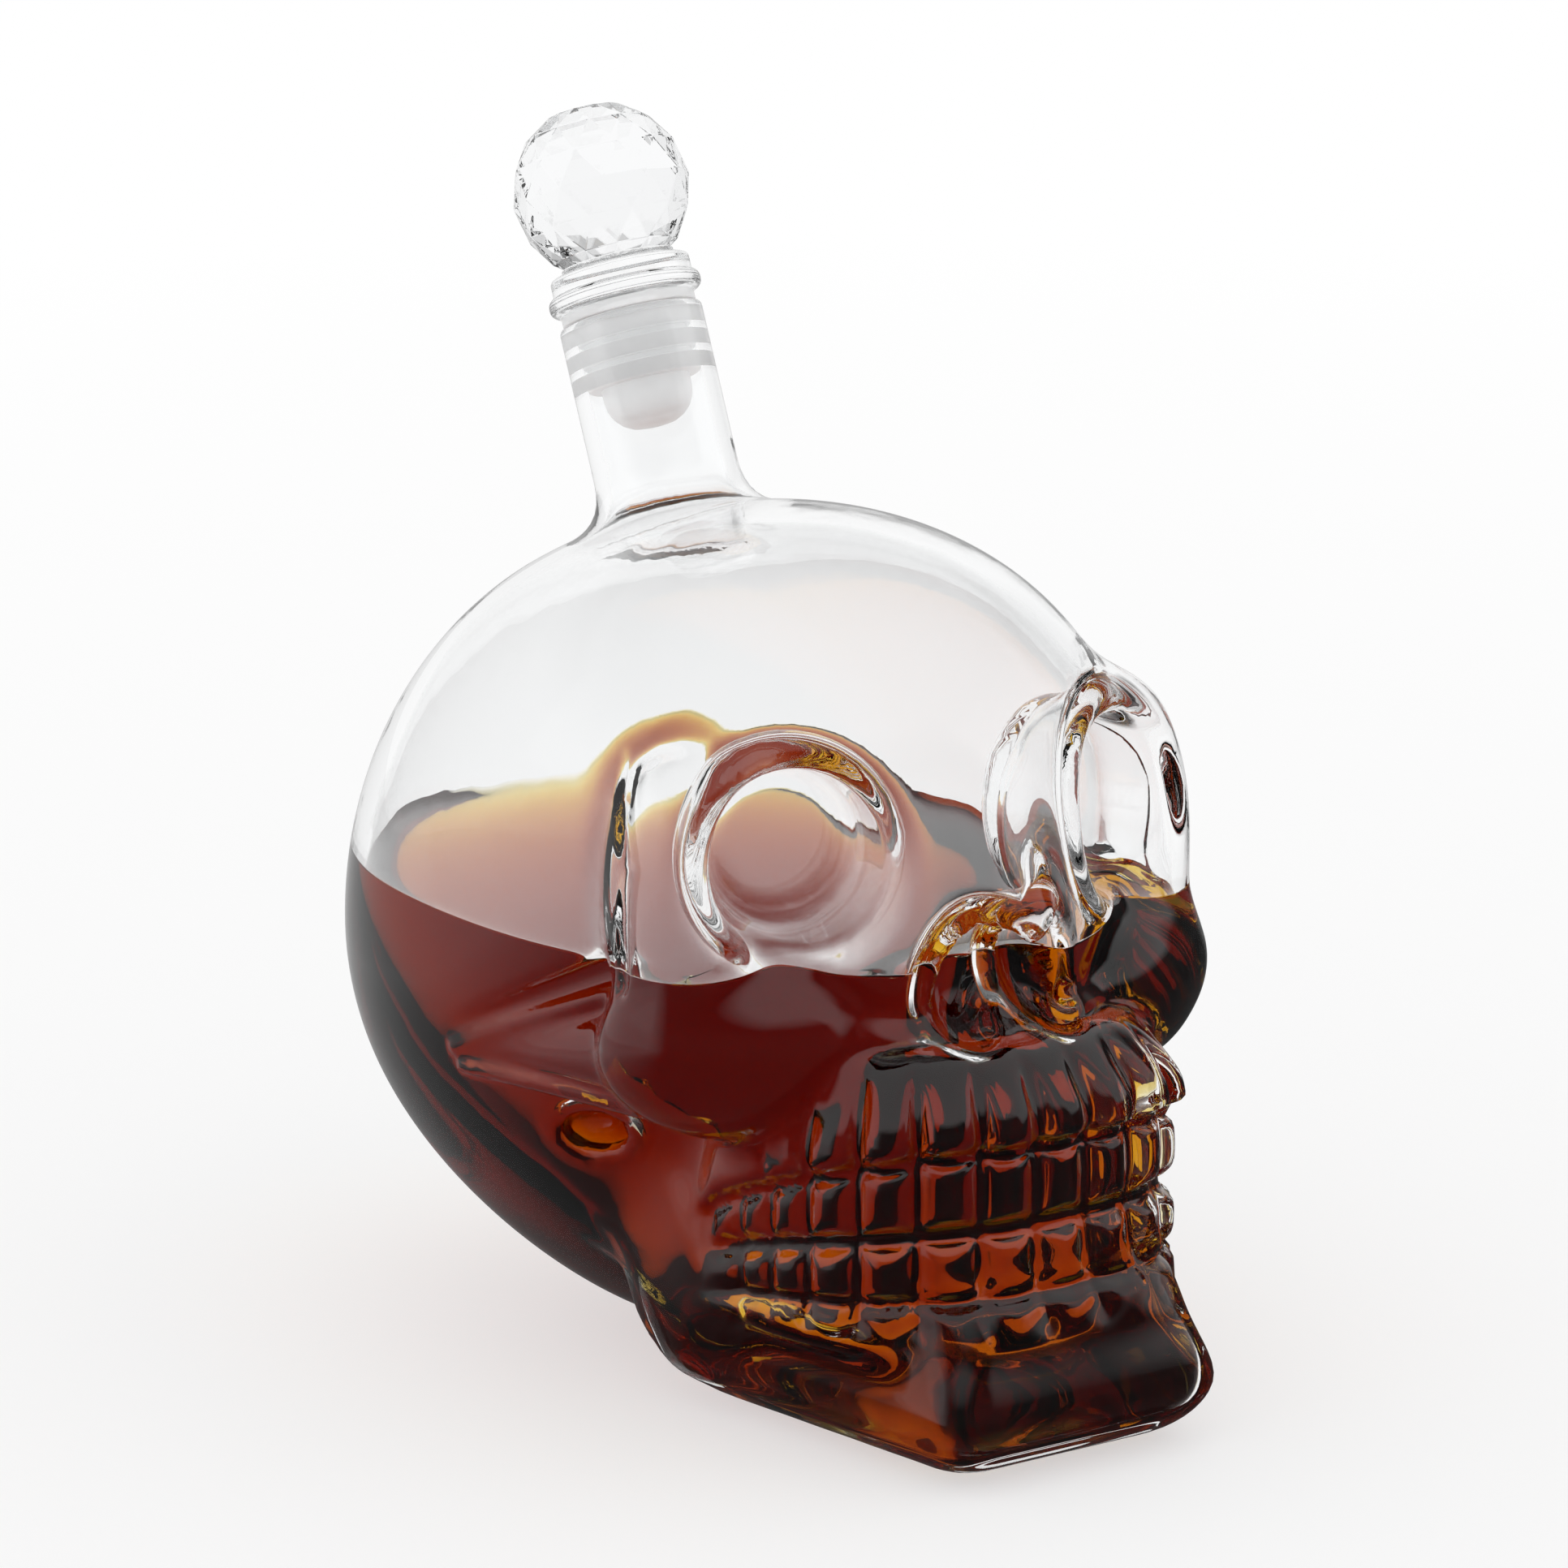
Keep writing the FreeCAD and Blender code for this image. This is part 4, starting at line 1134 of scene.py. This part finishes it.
@dataclass
class Bottle:
    """The blown glass skull with its neck, and the liquor in it."""

    wall: float = 3.2
    floor: float = 6.0
    floor_edge: float = 4.0
    base_edge: float = 2.0
    foot_blend: float = 7.0
    mouth_blend: float = 10.0
    inner_relief: float = 0.5
    post_spare: float = 6.0
    outer_grain: float = 1.95
    inner_grain: float = 2.3
    level: float = 77.0
    creep: float = 1.2
    creep_reach: float = 1.6
    creep_steps: tuple[float, ...] = (0.5, 1.0, 1.6, 2.4, 3.6, 5.5, 9.0)
    soak: float = 0.4
    probe: float = 0.2
    weld: float = 1e-6
    rim_round: float = 1.0
    tube_steps: int = 8
    tube_corners: int = 96
    outer_head: Head = field(default_factory=Head)
    inner_head: Head = field(init=False)
    outer_post: Post = field(init=False)
    inner_post: Post = field(init=False)
    pool: Piece = field(init=False)

    def __post_init__(self) -> None:
        """Gives the inside its own head, with shallower teeth, and the neck its posts."""
        self.inner_head = Head(relief=self.inner_relief)
        self.outer_post = Post(NECK_RADIUS, NECK_CUT + self.post_spare)
        self.inner_post = Post(BORE_RADIUS, NECK_CUT + self.post_spare)

    def outside(self, points: Points) -> Values:
        """Field of the outside of the glass, flat on the floor."""
        whole = joined(self.outer_head.distance(points), self.outer_post.distance(points), self.foot_blend)
        return trimmed(whole, -points[..., 2], self.base_edge)

    def cavity(self, points: Points) -> Values:
        """Field of the space inside the glass, with the bore."""
        hollow = self.inner_head.distance(points) + self.wall
        hollow = trimmed(hollow, self.floor - points[..., 2], self.floor_edge)
        return joined(hollow, self.inner_post.distance(points), self.mouth_blend)

    def tube(self) -> Piece:
        """The neck above its foot, open below: up the outside, over the rim and down the bore."""
        foot = NECK_CUT + NECK_GAP
        rim = self.rim_round
        low = NECK_LENGTH - rim
        steps = [foot + (low - foot) * step / self.tube_steps for step in range(self.tube_steps)]
        outline = [(NECK_RADIUS, height) for height in steps]
        outline += arc(NECK_RADIUS - rim, low, rim, 0, 90)
        outline += arc(BORE_RADIUS + rim, low, rim, 90, 180)
        outline += [(BORE_RADIUS, height) for height in reversed(steps)]
        drawn_up("neck_tube", outline, self.tube_corners)
        return placed(CROWN, LEANING)

    def cut_at_neck(self, skin: Piece) -> None:
        """Cuts a skin open square to the neck, a little above the crown."""
        place = np.array(CROWN) + neck_axis() * NECK_CUT
        on_whole(skin, bpy.ops.mesh.bisect, plane_co=place, plane_no=neck_axis(), clear_outer=True)

    def glass(self) -> Piece:
        """The glass: outer and inner skin, and the neck that joins them.

        Returns:
            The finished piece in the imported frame.
        """
        outer = Sculpture("skull_glass", self.outer_head, self.outside, [self.outer_post], self.outer_grain)
        inner = Sculpture("skull_inside", self.inner_head, self.cavity, [self.inner_post], self.inner_grain)
        skin, lining = outer.build(), inner.build()
        self.cut_at_neck(skin)
        self.cut_at_neck(lining)
        self.part_lining(lining)
        on_whole(lining, bpy.ops.mesh.flip_normals)
        glass = fused([skin, lining, self.tube()])
        middle = (NECK_RADIUS + BORE_RADIUS) / 2
        self.bridge(glass, lambda radius: radius > middle)
        self.bridge(glass, lambda radius: radius < middle)
        return self.finished(glass)

    def bridge(self, glass: Piece, side: Callable[[Values], Values]) -> None:
        """Joins the open loop of a skin to the open loop of the tube on one side of the wall."""
        border = open_edges(glass)

        def wanted(middles: np.ndarray) -> np.ndarray:
            """Open edges of that side."""
            _, radius = along_neck(middles)
            return border & side(radius)

        pick(glass, "EDGE", wanted)
        bpy.ops.mesh.bridge_edge_loops()
        leave()

    def liquor(self) -> Piece:
        """The liquor: the wet part of the lining, closed by a level top that creeps up at the wall.

        Its wall lies a little inside the glass, where it bends light as glass against liquor does.

        Returns:
            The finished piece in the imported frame.
        """
        pool = self.pool
        on_whole(pool, bpy.ops.transform.shrink_fatten, value=self.soak)
        wall_count = len(pool.data.polygons)
        border = open_edges(pool)
        pick(pool, "EDGE", lambda middles: border)
        bpy.ops.mesh.mark_sharp()
        inset = 0.0
        for reach in self.creep_steps:
            bpy.ops.mesh.extrude_edges_move()
            bpy.ops.mesh.mark_sharp(clear=True)
            leave()
            self.draw_in(pool, reach - inset, self.level + self.creep * math.exp(-reach / self.creep_reach))
            inset = reach
            bpy.ops.object.mode_set(mode="EDIT")
        bpy.ops.mesh.edge_face_add()
        leave()
        mark_faces(pool, "open_top", np.arange(len(pool.data.polygons)) >= wall_count)
        return self.finished(pool)

    def draw_in(self, pool: Piece, distance: float, height: float) -> None:
        """Draws the selected corners in from the wall by a distance, to a height."""
        points = mesh_points(pool)
        chosen = np.empty(len(points), dtype=bool)
        pool.data.vertices.foreach_get("select", chosen)
        flat = points[chosen]
        slope = np.zeros_like(flat)
        for axis in range(2):
            shift = np.zeros(3)
            shift[axis] = self.probe
            slope[:, axis] = self.cavity(flat + shift) - self.cavity(flat - shift)
        slope /= np.maximum(np.linalg.norm(slope, axis=1), TINY)[:, None]
        flat = flat - slope * distance
        flat[:, 2] = height
        points[chosen] = flat
        set_points(pool, points)

    def part_lining(self, lining: Piece) -> None:
        """Cuts the lining along the liquor's edge, and keeps a copy of its wet part for the liquor."""
        edge = self.level + self.creep
        on_whole(lining, bpy.ops.mesh.bisect, plane_co=(0, 0, edge), plane_no=(0, 0, 1))
        bpy.ops.object.duplicate()
        self.pool = bpy.context.active_object
        self.pool.name = "liquor_pool"
        pick(self.pool, "FACE", lambda middles: middles[:, 2] > edge)
        bpy.ops.mesh.delete(type="FACE")
        leave()
        mark_faces(lining, "wetted", face_middles(lining)[:, 2] < edge)

    def finished(self, piece: Piece) -> Piece:
        """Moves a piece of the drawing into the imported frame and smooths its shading."""
        set_points(piece, from_drawing(mesh_points(piece)))
        on_whole(piece, bpy.ops.mesh.remove_doubles, threshold=self.weld)
        bpy.ops.object.shade_smooth()
        return piece


def open_edges(piece: Piece) -> np.ndarray:
    """Which edges of a piece have only one face."""
    loops = np.empty(len(piece.data.loops), dtype=np.int64)
    piece.data.loops.foreach_get("edge_index", loops)
    return np.bincount(loops, minlength=len(piece.data.edges)) == 1


# Pieces of the stopper

@dataclass
class Stopper:
    """The soft ribbed seal, the clear base on it and the cut ball."""

    collar_radius: float = 11.3
    collar_bottom: float = 33.25
    collar_top: float = 35.25
    body_radius: float = 8.7
    rib_radius: float = 9.74
    rib_tops: tuple[float, ...] = (32.3, 28.4, 24.5)
    rib_height: float = 3.0
    cup_radius: float = 7.5
    cup_end: float = 14.1
    cup_round: float = 5.5
    hole_radius: float = 5.05
    hole_end: float = 16.3
    shank_radius: float = 5.0
    shank_end: float = 16.6
    lip_radius: float = 12.9
    lip_bottom: float = 35.3
    lip_top: float = 38.5
    lip_round: float = 1.4
    disc_radius: float = 11.8
    disc_top: float = 41.5
    disc_round: float = 0.8
    pedestal_radius: float = 9.5
    pedestal_top: float = 42.7
    ball_radius: float = 15.0
    ball_middle: float = 54.7
    ball_seat: float = 12.0
    ball_flat: float = 13.6
    ball_corners: int = 12
    ball_rings: int = 8
    ball_slack: float = 0.1
    cut_width: float = 0.12
    cut_angle: float = 5.0
    corners: int = 96
    axis_radius: float = 0.02
    edge_round: float = 0.35
    smooth_angle: float = 40.0

    def seal(self) -> Piece:
        """The seal: a collar on the rim, ribs that fill the bore and a closed cup round the shank."""
        outline = [(self.axis_radius, self.hole_end), (self.hole_radius, self.hole_end)]
        outline += [(self.hole_radius, self.collar_top)]
        outline += self.rib(self.collar_radius, self.collar_top, self.collar_bottom)
        outline += [(self.body_radius, self.collar_bottom)]
        for top in self.rib_tops:
            low = top - self.rib_height
            outline += [(self.body_radius, top)]
            outline += self.rib(self.rib_radius, top, low)
            outline += [(self.body_radius, low)]
        outline += [(self.cup_radius, self.rib_tops[-1] - self.rib_height)]
        rounded = self.cup_radius - self.cup_round
        outline += arc(rounded, self.cup_end + self.cup_round, self.cup_round, 0, -90)
        outline += [(self.axis_radius, self.cup_end)]
        return self.turned("seal_sleeve", outline)

    def rib(self, radius: float, top: float, low: float) -> Outline:
        """Outline of the rounded edge of a rib, from its top down."""
        middle = radius - self.edge_round
        outline = arc(middle, top - self.edge_round, self.edge_round, 90, 0)
        return outline + arc(middle, low + self.edge_round, self.edge_round, 0, -90)

    def base(self) -> Piece:
        """The base: a shank in the seal, a round lip, a disc and the seat of the ball."""
        round_lip, round_disc = self.lip_round, self.disc_round
        outline = [(self.axis_radius, self.shank_end), (self.shank_radius, self.shank_end)]
        outline += [(self.shank_radius, self.lip_bottom)]
        outline += arc(self.lip_radius - round_lip, self.lip_bottom + round_lip, round_lip, -90, 0)
        outline += arc(self.lip_radius - round_lip, self.lip_top - round_lip, round_lip, 0, 90)
        outline += [(self.disc_radius, self.lip_top)]
        outline += arc(self.disc_radius - round_disc, self.disc_top - round_disc, round_disc, 0, 90)
        outline += [(self.pedestal_radius, self.disc_top), (self.pedestal_radius, self.pedestal_top)]
        outline += [(self.axis_radius, self.pedestal_top)]
        return self.turned("stopper_flange", outline)

    def turned(self, name: str, outline: Outline) -> Piece:
        """A piece turned from an outline, on the neck, with all but its sharp edges smoothed."""
        piece = on_neck(capped(drawn_up(name, outline, self.corners)))
        bpy.ops.object.shade_smooth_by_angle(angle=math.radians(self.smooth_angle))
        return piece

    def ball(self) -> Piece:
        """The ball: a coarse globe whose rings are staggered, cut flat above and below."""
        bpy.ops.object.select_all(action="DESELECT")
        bpy.ops.mesh.primitive_uv_sphere_add(
            segments=self.ball_corners, ring_count=self.ball_rings, radius=self.ball_radius
        )
        ball = bpy.context.active_object
        ball.name = "crystal_ball"
        half_step = math.pi / self.ball_corners
        slack = self.ball_slack
        for ring in range(1, self.ball_rings, 2):
            height = self.ball_radius * math.cos(math.pi * ring / self.ball_rings)
            pick(ball, "VERT", lambda middles, level=height: np.abs(middles[:, 2] - level) < slack)
            bpy.ops.transform.rotate(value=half_step, orient_axis="Z", center_override=(0, 0, height))
            leave()
        enter(ball)
        bpy.ops.mesh.quads_convert_to_tris(quad_method="SHORTEST_DIAGONAL")
        for side, reach in ((1, self.ball_flat), (-1, self.ball_seat)):
            bpy.ops.mesh.select_all(action="SELECT")
            bpy.ops.mesh.bisect(
                plane_co=(0, 0, side * reach), plane_no=(0, 0, side), clear_outer=True, use_fill=True
            )
        bpy.ops.mesh.select_all(action="SELECT")
        bpy.ops.transform.translate(value=(0, 0, self.ball_middle))
        bpy.ops.mesh.normals_make_consistent(inside=False)
        leave()
        angle = math.radians(self.cut_angle)
        modified(ball, "BEVEL", width=self.cut_width, segments=1, limit_method="ANGLE", angle_limit=angle)
        return on_neck(ball)


# Stage

@dataclass
class Stage:
    """White floor and background, soft studio light and the camera."""

    floor_radius: float = 3.0
    floor_corners: int = 64
    floor_drop: float = 0.0002
    camera_turn: float = -35.0
    camera_rise: float = 14.5
    camera_distance: float = 1.3
    target: Triple = (0.0, -0.0012006, 0.0947)
    focal_pixels: float = 9750.0
    frame_pixels: float = 1932.0
    sensor: float = 36.0
    nearest: float = 0.05
    dim_level: float = 0.07
    box_turns: Pair = (-120.0, 60.0)
    box_edge: float = 20.0
    box_rise: float = 0.5
    box_half_width: float = 0.45
    box_half_height: float = 0.32
    box_softness: float = 8.0
    top_start: float = 0.5
    top_softness: float = 5.0
    top_level: float = 1.0
    lit_turn: float = 15.0
    backdrop_softness: float = 3.0
    backdrop_level: float = 0.75
    dark_start: float = 0.3
    dark_softness: float = 3.0
    darkness: float = 0.9

    def floor(self) -> None:
        """Lays the floor just under the part."""
        bpy.ops.object.select_all(action="DESELECT")
        bpy.ops.mesh.primitive_circle_add(
            vertices=self.floor_corners,
            radius=self.floor_radius,
            fill_type="NGON",
            location=(0, 0, -self.floor_drop),
        )
        floor = bpy.context.active_object
        floor.name = "floor"
        floor.data.materials.append(PaleFloor("white_floor", self.lit_turn).material())

    def camera(self) -> None:
        """Sets the camera up at the photograph's angle."""
        turn, rise = math.radians(self.camera_turn), math.radians(self.camera_rise)
        back = Vector((math.sin(turn) * math.cos(rise), -math.cos(turn) * math.cos(rise), math.sin(rise)))
        data = bpy.data.cameras.new("camera")
        data.sensor_width = self.sensor
        data.lens = self.focal_pixels / self.frame_pixels * self.sensor
        data.clip_start = self.nearest
        camera = bpy.data.objects.new("camera", data)
        bpy.context.scene.collection.objects.link(camera)
        camera.location = Vector(self.target) + back * self.camera_distance
        camera.rotation_euler = back.to_track_quat("Z", "Y").to_euler()
        bpy.context.scene.camera = camera

    def world(self) -> None:
        """White background, with the surroundings that the glass mirrors and bends into view."""
        world = bpy.data.worlds.new("studio")
        bpy.context.scene.world = world
        world.use_nodes = True
        graph = Graph(world.node_tree)
        east, north, up = graph.place("Generated")
        first, second = (self.softbox(graph, east, north, up, turn) for turn in self.box_turns)
        overhead = ((up - self.top_start) * self.top_softness).clipped() * self.top_level
        turn = math.radians(self.lit_turn)
        backdrop = ((north * math.cos(turn) - east * math.sin(turn)) * self.backdrop_softness).clipped()
        backdrop = backdrop * self.backdrop_level
        gleam = (first + second + overhead + backdrop + self.dim_level).clipped()
        bent = graph.ray("Is Transmission Ray") * (1.0 - graph.ray("Diffuse Depth").clipped())
        ceiling = ((up - self.dark_start) * self.dark_softness).clipped() * self.darkness
        level = 1.0 - graph.mirrored() * (1.0 - gleam) - bent * ceiling
        sky = graph.add("ShaderNodeBackground", {"Color": level, "Strength": 1.0})
        graph.add("ShaderNodeOutputWorld", {"Surface": sky.outputs["Background"]})

    def softbox(self, graph: Graph, east: Wire, north: Wire, up: Wire, turn: float) -> Wire:
        """Brightness of a soft square of light at an azimuth, as a mirror sees it."""
        angle = math.radians(turn)
        across = east * math.cos(angle) + north * math.sin(angle)
        ahead = east * math.sin(angle) - north * math.cos(angle)
        side = graph.sum("ABSOLUTE", across, 0.0)
        rise = graph.sum("ABSOLUTE", up - self.box_rise, 0.0)
        wide = ((self.box_half_width - side) * self.box_softness).clipped()
        tall = ((self.box_half_height - rise) * self.box_softness).clipped()
        front = (ahead * self.box_edge).clipped()
        return wide * tall * front

    def settings(self) -> None:
        """Colour management, and enough bounces for glass in glass."""
        scene = bpy.context.scene
        scene.view_settings.view_transform = "Standard"
        scene.cycles.max_bounces = 24
        scene.cycles.transmission_bounces = 24
        scene.cycles.glossy_bounces = 12
        scene.cycles.diffuse_bounces = 4
        scene.cycles.transparent_max_bounces = 32
        scene.cycles.blur_glossy = 0.0


@dataclass(frozen=True)
class Dressing:
    """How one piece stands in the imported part."""

    body: str
    slot: str
    nodes: tuple[str, ...]
    finish: Any

    def put_on(self, piece: Piece) -> None:
        """Gives a piece its finish, its body and the nodes it stands for."""
        piece.data.materials.clear()
        piece.data.materials.append(self.finish.material())
        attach(piece, self.body)
        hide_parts(*self.nodes)
        log.info("%s: %d faces, rides on %s", piece.name, len(piece.data.polygons), self.body)


def main() -> None:
    """Builds every piece, dresses it and sets the stage."""
    logging.basicConfig(level=logging.INFO, format="%(name)s %(message)s")
    stage = Stage()
    stage.settings()
    stage.world()
    stage.camera()
    stage.floor()
    bottle = Bottle()
    skull_nodes = ("skull_bowl", "skull_dome", "bottle_neck")
    Dressing("bottle", "bottle_glass", skull_nodes, ClearGlass("bottle_glass")).put_on(bottle.glass())
    Dressing("bottle", "liquor", ("liquor_fill",), DarkLiquor("dark_liquor")).put_on(bottle.liquor())
    stopper = Stopper()
    Dressing("seal", "seal", ("stopper_seal",), SoftSeal("milky_seal")).put_on(stopper.seal())
    Dressing("knob", "base_glass", ("stopper_base",), ClearGlass("base_glass")).put_on(stopper.base())
    crystal = ClearGlass("ball_glass", tint=(0.955, 0.96, 0.965, 1.0), ior=1.54, wave_strength=0.0)
    Dressing("knob", "ball_glass", ("stopper_ball",), crystal).put_on(stopper.ball())


if __name__ == "__main__":
    main()
